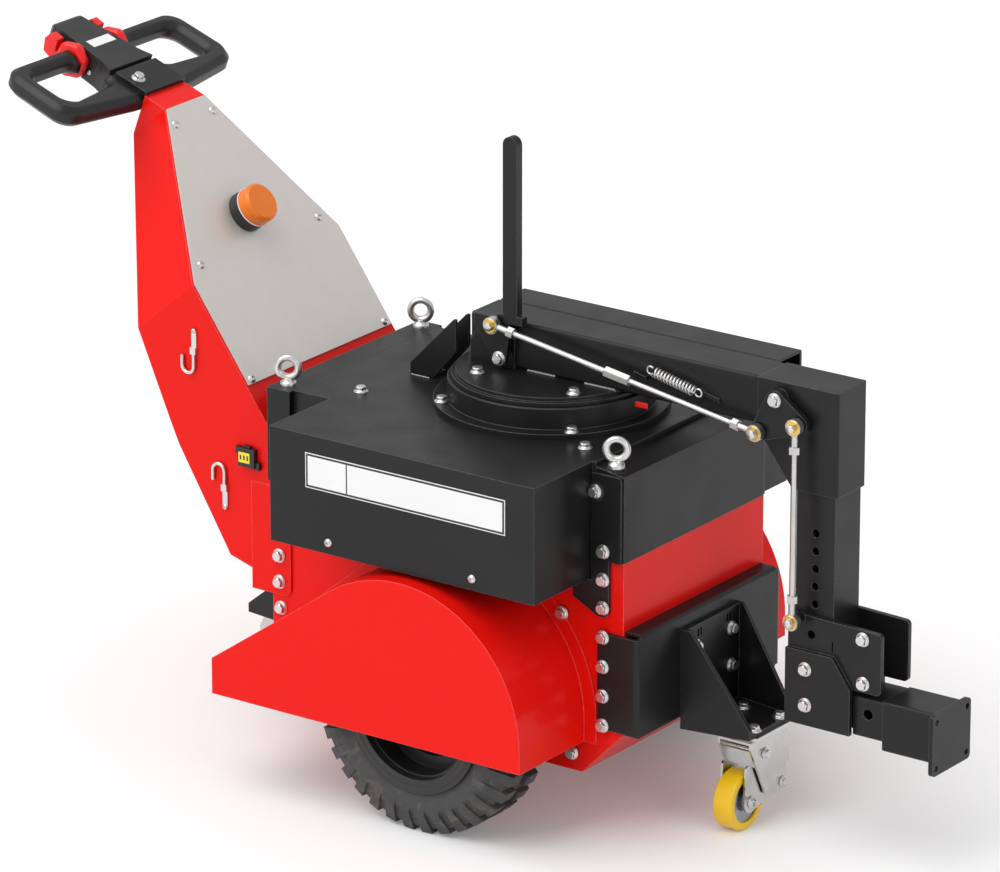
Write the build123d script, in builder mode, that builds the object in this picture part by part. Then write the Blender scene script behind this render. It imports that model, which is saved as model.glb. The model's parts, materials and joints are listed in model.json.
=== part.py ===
# Battery-driven walk-behind tow tractor, in millimetres.
# +X is the towing end, +Z is up, and the machine is symmetric about Y = 0 apart from its boom.
# The origin is on the floor, halfway along the machine.

import os
from math import atan2, cos, hypot, pi, radians, sin

from build123d import *

os.makedirs("parts", exist_ok=True)

# Clearances
RUN_GAP = 0.05
SLIDE_GAP = 0.5
SEAT_GAP = 0.3

# Stations along the machine, counted from the drive axle
BODY_REAR_REACH = 402.0
BODY_FRONT_REACH = 302.0
BUMPER_REACH = 333.0
COUPLING_REACH = 797.0
MAST_REACH = 773.0

# Handle head, measured along its own slope from the top of the mast
HANDLE_TILT = 20.5
HEAD_END = 232.0
HEAD_DROP = 44.0
HANDLE_REACH = MAST_REACH + HEAD_END * cos(radians(HANDLE_TILT)) + HEAD_DROP * sin(radians(HANDLE_TILT))
AXLE_X = (HANDLE_REACH - COUPLING_REACH) / 2

BODY_REAR = AXLE_X - BODY_REAR_REACH
BODY_FRONT = AXLE_X + BODY_FRONT_REACH
BUMPER_FRONT = AXLE_X + BUMPER_REACH
COUPLING_FRONT = AXLE_X + COUPLING_REACH

# Body shell
WALL_Y = 201.0
WALL = 5.0
TUB_BOTTOM = 108.0
TUB_TOP = 482.0
TUB_FRONT_LIFT = 80.0
TUB_REAR_LIFT = 62.0
TUB_NOSE_RUN = 79.0
TUB_TAIL_RUN = 62.0

# Covers
COVER_TOP = 644.0
SHEET = 3.0
STRIP_LENGTH = 46.0
STRIP_GAP = 1.0
STRIP_Y = 212.0
HOOD_LENGTH = 54.0
HOOD_REAR_TOP = 636.0
HOOD_FRONT_TOP = 628.0
POD_BOTTOM = 447.5
POD_Y = 362.5
POD_REAR_REACH = 282.0
POD_FRONT_REACH = 241.0
POD_WALL_GAP = 1.0

# Lifting eyes
EYE_RING_R = 20.0
EYE_WIRE_R = 6.0
EYE_COLLAR_R = 15.0
EYE_COLLAR_T = 10.0
EYE_Y = 184.0
EYE_TURN = radians(30)
EYE_REAR = BODY_REAR + STRIP_LENGTH / 2
EYE_FRONT = BODY_FRONT - HOOD_LENGTH / 2

# Drive wheels
TYRE_R = 200.0
TYRE_WIDTH = 110.0
TYRE_OUTER_Y = 362.0
RIM_R = 105.0
RIM_WEB = 10.0
RIM_WALL = 6.0
LUG_COUNT = 34
LUG_DEPTH = 9.0
LUG_LENGTH = 28.0
LUG_SHARE = 0.56
SHOULDER_RUN = 16.0
SHOULDER_DROP = 34.0
BEAD_SET = 11.0
DISH_R = 150.0
AXLE_R = 22.0
HUB_R = 48.0
HUB_LENGTH = 46.0
WHEEL_Y = TYRE_OUTER_Y - TYRE_WIDTH / 2

# Mudguards
GUARD_Y = 384.0
GUARD_R = 238.0
GUARD_ARC_OFFSET = -10.0
GUARD_BOTTOM = 163.0
GUARD_REAR_REACH = 390.0
GUARD_REAR_TOP = 225.0
GUARD_SHEET = 3.0
GUARD_FLANGE = 24.0

# Front bumper channel and the castors under both ends
BUMPER_BOTTOM = 187.0
BUMPER_TOP = 366.0
BUMPER_PLATE = 6.0
BUMPER_FLANGE = 78.0
BRACKET_Y = 83.0
BRACKET_PLATE = 8.0
BRACKET_TOP = 341.0
BRACKET_LIP_Y = 64.0
BRACKET_LIP = 16.0
FRONT_SHELF = 122.0
REAR_SHELF = 158.0
REAR_BRACKET_TOP = 300.0
CASTOR_HEIGHT = 170.0
CASTOR_R = 50.0
CASTOR_TREAD = 13.0
CASTOR_WIDTH = 36.0
CASTOR_TRAIL = 30.0
CASTOR_PLATE = 96.0
CASTOR_PLATE_T = 6.0
CASTOR_HEAD_R = 34.0
CASTOR_HEAD_H = 8.0
CASTOR_AXLE_R = 6.0
CASTOR_HUB_R = 12.0
FORK_SHEET = 4.0
FRONT_CASTOR_REACH = 412.0
REAR_CASTOR_REACH = -490.0

# Mast, its steel front panel and what it carries
MAST_Y = 201.0
MAST_TOP_Y = 53.0


def along_lean(share):
    """Reach of a point of the mast, as its share of the lean from the body's rear to the mast's top."""
    return BODY_REAR_REACH + share * (MAST_REACH - BODY_REAR_REACH)


MAST_FOOT = (along_lean(0.1294), 628.0)
MAST_TOP_REAR = (MAST_REACH, 1036.5)
MAST_TOP_DEPTH = 44.6
MAST_NECK_DEPTH = 73.3
MAST_FOLD_REAR = (along_lean(0.7440), 689.0)
MAST_BEND_HIGH = (along_lean(0.5714), 543.0)
MAST_BEND_LOW = (along_lean(0.5202), 502.0)
MAST_HEEL = (along_lean(0.2372), 329.0)
MAST_SOLE = (BODY_REAR_REACH, 303.0)
MAST_SHOULDER = (BODY_REAR_REACH, 563.0)
MAST_LAP = 40.0
MAST_LAP_T = 4.0
MAST_LAP_BOTTOM = 282.0
MAST_LAP_TOP = 470.0
MAST_LAP_CUT = 8.0
PANEL_T = 2.5
PANEL_FOLD = 193.0
PANEL_MARGIN = 4.0
BEACON_R = 35.0
BEACON_BASE = 22.0
BEACON_LENS = 24.0
LENS_CHAMFER = 4.0
BEACON_ALONG = 272.0

# Handle, in its own sloping plane
HANDLE_Y = 228.0
HANDLE_SWEEP = 22.0
HANDLE_BAR = 36.0
HANDLE_REAR = 174.0
HANDLE_ROUND = 40.0
HANDLE_EDGE = 10.0
HOLE_ROUND = 20.0
HOLE_Y = 66.0
FRONT_BAR = 55.0
REAR_BAR = 32.0
SIDE_BAR = 36.0
GRIP_R = 15.0
HEAD_Y = 57.0
HEAD_WAIST_Y = 48.0
HEAD_GRIP_Y = 44.0
HEAD_TAIL_Y = 35.0
HEAD_START = 68.0
HEAD_GAP = 9.0
HEAD_FLARE = 28.0
HEAD_RISE = 8.0
HEAD_ROUND = 14.0
NECK_PLATE = 8.0
THUMB_R = 29.0
THUMB_T = 16.0
THUMB_Y = 46.0
THUMB_ROUND = 5.0
THUMB_SLOT = 4.0
PADDLE_LENGTH = 26.0
PADDLE_RISE = 22.0

# Turntable
TURN_REACH = 20.0
TURN_FLANGE_R = 194.0
TURN_FLANGE_T = 10.0
TURN_RING_R = 171.0
TURN_RING_T = 36.0
TURN_DISC_R = 164.0
TURN_DISC_T = 13.0
TURN_STEP = 7.0
TURN_CHAMFER = 1.5

# Boom and drop tube
BOOM_HEIGHT = 80.0
BOOM_WALL = 5.0
BOOM_ROUND = 5.0
NEAR_TUBE_Y = 40.0
FAR_TUBE_Y = 112.0
BOOM_REAR_REACH = -112.0
BOOM_FRONT_REACH = 448.0
FAR_FRONT_REACH = 430.0
SLEEVE_WALL = 5.0
SLEEVE_Y = 42.0
SLEEVE_FRONT_REACH = 600.0
SLEEVE_BOTTOM = 608.0
SLEEVE_HEEL = 516.0
DROP_BOTTOM = 222.0
DROP_TOP = 740.0
DROP_HOLE_R = 7.0
DROP_HOLE_PITCH = 30.0
DROP_HOLES = 5
DROP_HOLE_LOW = 420.0

# Lift linkage, in a plane beside the boom
LINK_T = 10.0
LINK_Y = 60.0
ROD_END_R = 14.0
ROD_END_T = 12.0
ROD_GAP = 4.0
ROD_R = 5.0
SHANK_R = 5.9
SHANK_LENGTH = 20.0
NUT_R = 9.5
NUT_LENGTH = 12.0
SLEEVE_AT = 227.0
SLEEVE_LENGTH = 47.0
PIN_R = 6.0
PIN_END = 6.0
SPACER_R = 9.0
BOLT_HEAD_R = 9.0
BOLT_HEAD_T = 4.0
LEVER_REACH = -43.0
LEVER_Z = 722.0
LEVER_ARM = (-7.0, 58.0)
LEVER_TOP = 1100.0
LEVER_FOOT_R = 13.0
LEVER_BAR_START = 7.0
LEVER_BAR_WIDTH = 28.0
LEVER_BAR_T = 15.0
LEVER_BAR_FOOT = 62.0
LEVER_COLLAR = 10.0
LEVER_COLLAR_H = 14.0
LEVER_BACK = 50.0
LEVER_HEEL = 50.0
LEVER_CROWN = 69.0
CRANK_REACH = 492.0
CRANK_Z = 757.0
CRANK_DRIVE = (-29.0, -57.0)
CRANK_LIFT = (45.0, -33.0)
ROD_LOW_Z = 396.0

# Hitch
CHEEK_T = 8.0
CHEEK_ROUND = 8.0
CHEEK_STEP_GAP = 3.0
CHEEK_TOP = 406.0
CHEEK_SEAM = 343.0
COUPLING_Y = 42.0
COUPLING_TOP = 286.0
COUPLING_BOTTOM = 201.0
COUPLING_WALL = 5.0
COUPLING_INSET = 42.5
COUPLING_STEP_SHARE = 0.3684
COUPLING_STEP = 15.0
COUPLING_HOLE_R = 9.0
COUPLING_HOLE_Z = 257.0
END_PLATE_T = 8.0
END_PLATE_Y = 56.0
END_PLATE_TOP = 288.0
END_PLATE_BOTTOM = 184.0
END_HOLE_R = 5.5
END_HOLE_Y = 90.0
END_HOLE_Z = 78.0


def station(reach):
    """A place along the machine, counted forward from the drive axle."""
    return AXLE_X + reach


def side_plane(y):
    """A sketch plane seen from the right: x forward, y up, facing -Y."""
    return Plane(origin=(0, y, 0), x_dir=(1, 0, 0), z_dir=(0, -1, 0))


def finish(part, label):
    """Name a finished piece and write it."""
    part.label = label
    export_step(part, f"parts/{label}.step")


# Red chassis tub, open at the top, with a rising nose and tail
tub_profile = [
    (BODY_REAR, TUB_TOP),
    (BODY_REAR, TUB_BOTTOM + TUB_REAR_LIFT),
    (BODY_REAR + TUB_TAIL_RUN, TUB_BOTTOM),
    (BODY_FRONT - TUB_NOSE_RUN, TUB_BOTTOM),
    (BODY_FRONT, TUB_BOTTOM + TUB_FRONT_LIFT),
    (BODY_FRONT, TUB_TOP),
]
with BuildPart() as chassis_tub:
    with BuildSketch(side_plane(0)):
        Polygon(*tub_profile, align=None)
    extrude(amount=WALL_Y, both=True)
    offset(amount=-WALL, openings=chassis_tub.faces().sort_by(Axis.Z)[-1])
    with BuildSketch(side_plane(0)):
        with Locations((AXLE_X, TYRE_R)):
            Circle(AXLE_R)
    extrude(amount=WALL_Y + 1, both=True, mode=Mode.SUBTRACT)
finish(chassis_tub.part, "chassis_tub")

# Black cover over the tub, with a box standing out over each wheel
cover_rear = BODY_REAR + STRIP_LENGTH + STRIP_GAP
cover_front = BODY_FRONT - HOOD_LENGTH - STRIP_GAP
pod_rear = station(-POD_REAR_REACH)
pod_front = station(POD_FRONT_REACH)
pod_inner = WALL_Y + POD_WALL_GAP
with BuildPart() as top_cover:
    with BuildSketch(Plane.XY.offset(TUB_TOP)):
        with Locations(((cover_rear + cover_front) / 2, 0)):
            Rectangle(cover_front - cover_rear, 2 * WALL_Y)
    extrude(amount=COVER_TOP - TUB_TOP)
    for side in (-1, 1):
        with BuildSketch(Plane.XY.offset(POD_BOTTOM)):
            with Locations(((pod_rear + pod_front) / 2, side * (pod_inner + POD_Y) / 2)):
                Rectangle(pod_front - pod_rear, POD_Y - pod_inner)
        extrude(amount=COVER_TOP - POD_BOTTOM)
        with BuildSketch(Plane.XY.offset(TUB_TOP)):
            with Locations(((pod_rear + pod_front) / 2, side * (pod_inner + WALL_Y) / 2)):
                Rectangle(pod_front - pod_rear, pod_inner - WALL_Y)
        extrude(amount=COVER_TOP - TUB_TOP)
    with BuildSketch(Plane.XY.offset(TUB_TOP)):
        with Locations(((cover_rear + cover_front) / 2, 0)):
            Rectangle(cover_front - cover_rear - 2 * SHEET, 2 * (WALL_Y - SHEET))
    extrude(amount=COVER_TOP - TUB_TOP - SHEET, mode=Mode.SUBTRACT)
    for side in (-1, 1):
        with BuildSketch(Plane.XY.offset(POD_BOTTOM + SHEET)):
            with Locations(((pod_rear + pod_front) / 2, side * (pod_inner + POD_Y) / 2)):
                Rectangle(pod_front - pod_rear - 2 * SHEET, POD_Y - pod_inner - 2 * SHEET)
        extrude(amount=COVER_TOP - POD_BOTTOM - 2 * SHEET, mode=Mode.SUBTRACT)
        with BuildSketch(Plane.XY.offset(TUB_TOP + SHEET)):
            with Locations(((pod_rear + pod_front) / 2, side * WALL_Y)):
                Rectangle(pod_front - pod_rear - 2 * SHEET, 4 * SHEET)
        extrude(amount=COVER_TOP - TUB_TOP - 2 * SHEET, mode=Mode.SUBTRACT)
finish(top_cover.part, "top_cover")

# Sloping front hood between the cover and the red front
hood_rear = BODY_FRONT - HOOD_LENGTH
hood_profile = [
    (hood_rear, TUB_TOP),
    (BODY_FRONT, TUB_TOP),
    (BODY_FRONT, HOOD_FRONT_TOP),
    (hood_rear, HOOD_REAR_TOP),
]
with BuildPart() as front_hood:
    with BuildSketch(side_plane(0)):
        Polygon(*hood_profile, align=None)
    extrude(amount=WALL_Y, both=True)
    offset(amount=-SHEET, openings=front_hood.faces().sort_by(Axis.Z)[0])
    for side in (-1, 1):
        with Locations((EYE_FRONT, side * EYE_Y, HOOD_REAR_TOP)):
            Cylinder(EYE_COLLAR_R, HOOD_REAR_TOP - HOOD_FRONT_TOP + SHEET / 2,
                     align=(Align.CENTER, Align.CENTER, Align.MAX))
finish(front_hood.part, "front_hood")

# Box-shaped crossmember behind the cover
with BuildPart() as rear_crossmember:
    with BuildSketch(Plane.XY.offset(TUB_TOP)):
        with Locations((BODY_REAR + STRIP_LENGTH / 2, 0)):
            Rectangle(STRIP_LENGTH, 2 * STRIP_Y)
    extrude(amount=COVER_TOP - TUB_TOP)
    offset(amount=-WALL, openings=rear_crossmember.faces().sort_by(Axis.Z)[0])
finish(rear_crossmember.part, "rear_crossmember")

# Black plates bolted over the front corners of the walls
CORNER_T = 6.0
CORNER_EDGE = 2.0
CORNER_STEP = 25.0
CORNER_BOTTOM = 386.0
CORNER_TAIL = 36.0
CORNER_ROUND = 12.0
corner_front = BODY_FRONT - CORNER_EDGE
corner_rear = pod_front + CORNER_EDGE
corner_low = POD_BOTTOM - CORNER_EDGE
corner_profile = [
    (corner_rear, HOOD_FRONT_TOP),
    (corner_front, HOOD_FRONT_TOP),
    (corner_front, TUB_TOP),
    (BODY_FRONT - CORNER_STEP, TUB_TOP),
    (BODY_FRONT - CORNER_STEP, CORNER_BOTTOM),
    (corner_rear + CORNER_ROUND, CORNER_BOTTOM),
    (corner_rear - CORNER_TAIL, CORNER_BOTTOM + CORNER_STEP),
    (corner_rear - CORNER_TAIL, corner_low),
    (corner_rear, corner_low),
]
with BuildPart() as corner_plates:
    for side in (-1, 1):
        with BuildSketch(side_plane(side * (WALL_Y + CORNER_T / 2))) as corner_face:
            Polygon(*corner_profile, align=None)
            fillet(corner_face.vertices().group_by(Axis.X)[-1].sort_by(Axis.Y)[-1], CORNER_ROUND / 2)
            fillet(corner_face.vertices().group_by(Axis.Y)[0], CORNER_ROUND)
        extrude(amount=CORNER_T / 2, both=True)
finish(corner_plates.part, "corner_plates")

# Pressed channel across the front: face, two side flanges, and top and bottom lips
BUMPER_BEND = 7.0
FLANGE_ROUND = 8.0
bumper_rear = BUMPER_FRONT - BUMPER_FLANGE
bumper_y = WALL_Y + BUMPER_PLATE
lip_y = WALL_Y - BUMPER_PLATE
bumper_high = BUMPER_TOP - BUMPER_BEND
bumper_low = BUMPER_BOTTOM + BUMPER_BEND


def bent_channel(plane, rear, half, height):
    """A channel section that opens to the rear, with its two front bends rounded."""
    with BuildPart() as channel:
        with BuildSketch(plane) as section:
            with Locations(((rear + BUMPER_FRONT) / 2, 0)):
                Rectangle(BUMPER_FRONT - rear, 2 * half)
            fillet(section.vertices().group_by(Axis.X)[-1], BUMPER_BEND)
            with Locations(((rear + BUMPER_FRONT) / 2 - BUMPER_PLATE, 0)):
                Rectangle(BUMPER_FRONT - rear, 2 * (half - BUMPER_PLATE), mode=Mode.SUBTRACT)
        extrude(amount=height / 2, both=True)
    return channel.part


bumper_mid = (BUMPER_BOTTOM + BUMPER_TOP) / 2
lip_plane = Plane(origin=(0, 0, bumper_mid), x_dir=(1, 0, 0), z_dir=(0, -1, 0))
with BuildPart() as bumper_channel:
    add(bent_channel(lip_plane, BODY_FRONT, (BUMPER_TOP - BUMPER_BOTTOM) / 2, 2 * lip_y))
    add(bent_channel(Plane.XY.offset(bumper_mid), bumper_rear, bumper_y, bumper_high - bumper_low))
    fillet(bumper_channel.edges().filter_by(Axis.Y).group_by(Axis.X)[0], FLANGE_ROUND)
finish(bumper_channel.part, "bumper_channel")


def castor_bracket(face_x, reach, top, label):
    """A back plate, a shelf and two gussets that close in towards the lip; reach is signed."""
    way = 1 if reach > 0 else -1
    back = face_x + way * BRACKET_PLATE
    lip = face_x + reach
    inner_back = BRACKET_Y - BRACKET_PLATE
    inner_lip = BRACKET_LIP_Y - BRACKET_PLATE
    shelf_top = CASTOR_HEIGHT + BRACKET_PLATE
    with BuildPart() as bracket:
        with BuildSketch(Plane.XY.offset(CASTOR_HEIGHT)):
            Polygon((face_x, -BRACKET_Y), (lip, -BRACKET_LIP_Y), (lip, BRACKET_LIP_Y), (face_x, BRACKET_Y),
                    align=None)
        extrude(amount=top - CASTOR_HEIGHT)
        with BuildSketch(Plane.XY.offset(shelf_top)):
            Polygon((back, -inner_back), (lip + way, -inner_lip), (lip + way, inner_lip), (back, inner_back),
                    align=None)
        extrude(amount=top - CASTOR_HEIGHT, mode=Mode.SUBTRACT)
        with BuildSketch(side_plane(0)):
            Polygon((back + way * BRACKET_LIP / 2, top), (lip, CASTOR_HEIGHT + BRACKET_LIP),
                    (lip + way, CASTOR_HEIGHT + BRACKET_LIP), (lip + way, top + 1),
                    (back + way * BRACKET_LIP / 2, top + 1), align=None)
        extrude(amount=BRACKET_Y, both=True, mode=Mode.SUBTRACT)
    finish(bracket.part, label)


castor_bracket(BUMPER_FRONT, FRONT_SHELF, BRACKET_TOP, "front_castor_bracket")
castor_bracket(BODY_REAR, -REAR_SHELF, REAR_BRACKET_TOP, "rear_castor_bracket")

# Red mudguards: outer face, wrapped top and a flange on the body wall
guard_centre_x = station(GUARD_ARC_OFFSET)
guard_rear = station(-GUARD_REAR_REACH)
corner_dx = guard_rear - guard_centre_x
corner_dz = GUARD_REAR_TOP - TYRE_R
corner_distance = hypot(corner_dx, corner_dz)


def guard_face(radius, drop, trim):
    """Wheel-arch shape: a front drop, an arc and the tangent down to the rear corner."""
    tangent_turn = atan2(corner_dz, corner_dx) - atan2((corner_distance**2 - radius**2) ** 0.5, radius)
    touch = (guard_centre_x + radius * cos(tangent_turn), TYRE_R + radius * sin(tangent_turn))
    crown = (guard_centre_x + radius * cos(tangent_turn / 2), TYRE_R + radius * sin(tangent_turn / 2))
    foot = (guard_centre_x + radius, drop)
    start = (guard_centre_x + radius, TYRE_R)
    with BuildSketch() as face:
        with BuildLine():
            Line(foot, start)
            ThreePointArc(start, crown, touch)
            Polyline(touch, (guard_rear + trim, GUARD_REAR_TOP - trim), (guard_rear + trim, drop), foot)
        make_face()
    return face.sketch


guard_skin = guard_face(GUARD_R, GUARD_BOTTOM, 0)
guard_hollow = guard_face(GUARD_R - GUARD_SHEET, GUARD_BOTTOM - 1, GUARD_SHEET)
guard_border = guard_face(GUARD_R + GUARD_FLANGE, GUARD_BOTTOM, 0)
for side, guard_label in ((-1, "mudguard_right"), (1, "mudguard_left")):
    with BuildPart() as guard:
        with BuildSketch(side_plane(side * (GUARD_Y + WALL_Y) / 2)):
            add(guard_skin)
        extrude(amount=(GUARD_Y - WALL_Y) / 2, both=True)
        with BuildSketch(side_plane(side * (GUARD_Y + WALL_Y - 2 * GUARD_SHEET) / 2)):
            add(guard_hollow)
        extrude(amount=(GUARD_Y - WALL_Y) / 2, both=True, mode=Mode.SUBTRACT)
        with BuildSketch(side_plane(side * (WALL_Y + GUARD_SHEET / 2))):
            add(guard_border)
            add(guard_hollow, mode=Mode.SUBTRACT)
            with Locations((station(0), POD_BOTTOM + GUARD_R)):
                Rectangle(4 * GUARD_R, 2 * GUARD_R, mode=Mode.SUBTRACT)
        extrude(amount=GUARD_SHEET / 2, both=True)
    finish(guard.part, guard_label)

# Mast: full-width foot, tapering neck and a small cap


def mast_point(pair):
    """A mast point given as reach behind the axle and height."""
    return (station(-pair[0]), pair[1])


def in_side_view(point):
    """A point's place in a sketch seen from the right."""
    return (point.X, point.Z)


foot_points = [MAST_FOLD_REAR, MAST_BEND_HIGH, MAST_BEND_LOW, MAST_HEEL,
               MAST_SOLE, MAST_SHOULDER]
fold_rear = Vector(mast_point(MAST_FOLD_REAR)[0], 0, MAST_FOLD_REAR[1])
top_rear = Vector(mast_point(MAST_TOP_REAR)[0], 0, MAST_TOP_REAR[1])
handle_slope = radians(HANDLE_TILT)
handle_out = Vector(-cos(handle_slope), 0, sin(handle_slope))
handle_up = Vector(sin(handle_slope), 0, cos(handle_slope))
top_front = top_rear - handle_out * MAST_TOP_DEPTH
neck_rear = top_rear - handle_up * MAST_NECK_DEPTH
panel_foot = Vector(mast_point(MAST_FOOT)[0], 0, MAST_FOOT[1])
panel_up = (top_front - panel_foot).normalized()
fold_front = panel_foot + panel_up * PANEL_FOLD


def section_plane(front, rear):
    """A plane across the mast whose x runs from the front point to the rear one."""
    return Plane(origin=(front + rear) / 2, x_dir=rear - front, z_dir=(rear - front).cross(Vector(0, 1, 0)))


with BuildPart() as mast_shell:
    with BuildSketch(side_plane(0)):
        Polygon(in_side_view(panel_foot), in_side_view(fold_front),
                *[mast_point(pair) for pair in foot_points], align=None)
    extrude(amount=MAST_Y, both=True)
    with BuildSketch(section_plane(fold_front, fold_rear)):
        Rectangle((fold_rear - fold_front).length, 2 * MAST_Y)
    with BuildSketch(section_plane(top_front, neck_rear)):
        Rectangle((neck_rear - top_front).length, 2 * MAST_TOP_Y)
    loft(ruled=True)
    with BuildSketch(side_plane(0)):
        Polygon(*[in_side_view(p) for p in (top_front, top_rear, neck_rear)], align=None)
    extrude(amount=MAST_TOP_Y, both=True)
    for side in (-1, 1):
        with BuildSketch(side_plane(side * (WALL_Y + MAST_LAP_T / 2))) as lap_face:
            with Locations((BODY_REAR, (MAST_LAP_BOTTOM + MAST_LAP_TOP) / 2)):
                Rectangle(2 * MAST_LAP, MAST_LAP_TOP - MAST_LAP_BOTTOM)
            chamfer(lap_face.vertices().group_by(Axis.X)[-1], MAST_LAP_CUT)
        extrude(amount=MAST_LAP_T / 2, both=True)
finish(mast_shell.part, "mast_shell")

# Steel panel on the mast's sloping front, in the panel's own plane
panel_normal = Vector(0, 1, 0).cross(panel_up) * -1
if panel_normal.X < 0:
    panel_normal = panel_normal * -1
panel_plane = Plane(origin=panel_foot, x_dir=(0, 1, 0), z_dir=panel_normal)
panel_length = (top_front - panel_foot).length
panel_sign = 1 if panel_plane.y_dir.dot(panel_up) > 0 else -1
panel_half = MAST_Y - PANEL_MARGIN
panel_points = [
    (-panel_half, panel_sign * PANEL_MARGIN),
    (panel_half, panel_sign * PANEL_MARGIN),
    (panel_half, panel_sign * PANEL_FOLD),
    (MAST_TOP_Y - PANEL_MARGIN / 2, panel_sign * (panel_length - 1)),
    (-MAST_TOP_Y + PANEL_MARGIN / 2, panel_sign * (panel_length - 1)),
    (-panel_half, panel_sign * PANEL_FOLD),
]
with BuildPart() as mast_panel:
    with BuildSketch(panel_plane.offset(SEAT_GAP)):
        Polygon(*panel_points, align=None)
    extrude(amount=PANEL_T)
finish(mast_panel.part, "mast_panel")

# Flashing beacon on the panel
beacon_centre = (0, panel_sign * BEACON_ALONG)
with BuildPart() as beacon_base:
    with BuildSketch(panel_plane.offset(SEAT_GAP + PANEL_T)):
        with Locations(beacon_centre):
            Circle(BEACON_R)
    extrude(amount=BEACON_BASE)
finish(beacon_base.part, "beacon_base")
with BuildPart() as beacon_lens:
    with BuildSketch(panel_plane.offset(SEAT_GAP + PANEL_T + BEACON_BASE)):
        with Locations(beacon_centre):
            Circle(BEACON_R - 1)
    extrude(amount=BEACON_LENS)
    chamfer(beacon_lens.faces().sort_by(Axis(panel_foot, panel_normal))[-1].edges(), LENS_CHAMFER)
finish(beacon_lens.part, "beacon_lens")

# Handle: two closed loops with a thick front bar, in a plane that rises to the rear
handle_plane = Plane(origin=top_rear, x_dir=handle_out, z_dir=handle_up)

with BuildPart() as neck_plate:
    with BuildSketch(handle_plane):
        with Locations((HEAD_START / 2, 0)):
            Rectangle(HEAD_START, 2 * MAST_TOP_Y)
    extrude(amount=NECK_PLATE)
finish(neck_plate.part, "handle_bracket")

loop_half = [(0, MAST_TOP_Y), (HANDLE_SWEEP, HANDLE_Y), (HANDLE_REAR, HANDLE_Y - HEAD_GAP / 2),
             (HANDLE_REAR, HOLE_Y)]
hole_half = [(FRONT_BAR + 5, HOLE_Y), (FRONT_BAR - 5, HANDLE_Y - SIDE_BAR),
             (HANDLE_REAR - REAR_BAR, HANDLE_Y - SIDE_BAR), (HANDLE_REAR - REAR_BAR, HOLE_Y)]
head_front = HEAD_START + HEAD_GAP
grip_along = HANDLE_REAR - GRIP_R - 2
grip_inner = HEAD_GRIP_Y + SEAT_GAP
frame_inner = HOLE_Y + 1
grip_axis = handle_plane.from_local_coords(Vector(grip_along, 0, -HANDLE_BAR / 2))
with BuildPart() as handle_frame:
    with BuildSketch(handle_plane.offset(-HANDLE_BAR)) as handle_face:
        Polygon(*loop_half, *[(x, -y) for x, y in reversed(loop_half)], align=None)
        fillet(handle_face.vertices().filter_by(lambda v: abs(v.Y) > HANDLE_Y / 2), HANDLE_ROUND)
        for side in (-1, 1):
            with BuildSketch(mode=Mode.PRIVATE) as hole_face:
                Polygon(*[(x, side * y) for x, y in hole_half], align=None)
                fillet(hole_face.vertices(), HOLE_ROUND)
            add(hole_face.sketch, mode=Mode.SUBTRACT)
    extrude(amount=HANDLE_BAR)
    frame_ends = handle_frame.faces().sort_by(Axis(top_rear, handle_up))
    chamfer(frame_ends[0].edges() + frame_ends[-1].edges(), HANDLE_EDGE)
    with BuildSketch(handle_plane.offset(-HEAD_DROP)):
        with Locations(((head_front - SEAT_GAP + HEAD_END) / 2, 0)):
            Rectangle(HEAD_END - head_front + SEAT_GAP, 2 * frame_inner)
    extrude(amount=HEAD_DROP + HEAD_RISE, mode=Mode.SUBTRACT)
    for side in (-1, 1):
        grip_start = Vector(grip_axis.X, side * grip_inner, grip_axis.Z)
        with BuildSketch(Plane(origin=grip_start, x_dir=handle_out, z_dir=(0, side, 0))):
            Circle(GRIP_R)
        extrude(amount=frame_inner - grip_inner + HOLE_ROUND)
finish(handle_frame.part, "handle_frame")

# Moulded head between the loops: flared at the neck, tapering to a rounded tail
head_half = [(head_front, HEAD_Y), (head_front + HEAD_FLARE / 2, HEAD_Y - 5),
             (head_front + HEAD_FLARE, HEAD_WAIST_Y), (HEAD_END - HEAD_GAP, HEAD_TAIL_Y),
             (HEAD_END, HEAD_TAIL_Y - HEAD_GAP)]
with BuildPart() as handle_head:
    with BuildSketch(handle_plane.offset(-HEAD_DROP)):
        Polygon(*head_half, *[(x, -y) for x, y in reversed(head_half)], align=None)
    extrude(amount=HEAD_DROP + HEAD_RISE)
    head_top = handle_head.faces().sort_by(Axis(top_rear, handle_up))[-1]
    fillet(head_top.edges().sort_by(Axis(top_rear, handle_out))[-1], HEAD_ROUND)
finish(handle_head.part, "handle_head")

# Red thumb wheels on the grip, one each side of the head: a six-sided collar and a paddle behind it
grip_plane = Plane(origin=grip_axis, x_dir=handle_out, z_dir=(0, 1, 0))
paddle_start = THUMB_R + THUMB_SLOT
paddle_end = paddle_start + PADDLE_LENGTH
with BuildPart() as thumb_wheels:
    for side in (-1, 1):
        with BuildSketch(grip_plane.offset(side * (THUMB_Y + THUMB_T / 2))) as thumb_face:
            RegularPolygon(THUMB_R, 6)
            fillet(thumb_face.vertices(), THUMB_ROUND)
            Polygon((paddle_start, 4 - PADDLE_RISE), (paddle_start, PADDLE_RISE),
                    (paddle_end - 8, PADDLE_RISE + 2), (paddle_end, PADDLE_RISE / 2),
                    (paddle_end - 4, -PADDLE_RISE / 2), align=None)
            with Locations((paddle_start - THUMB_SLOT, -THUMB_ROUND)):
                Rectangle(6 * THUMB_SLOT, 2 * THUMB_ROUND)
            Circle(GRIP_R + RUN_GAP, mode=Mode.SUBTRACT)
        extrude(amount=THUMB_T / 2, both=True)
finish(thumb_wheels.part, "thumb_wheels")

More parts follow.
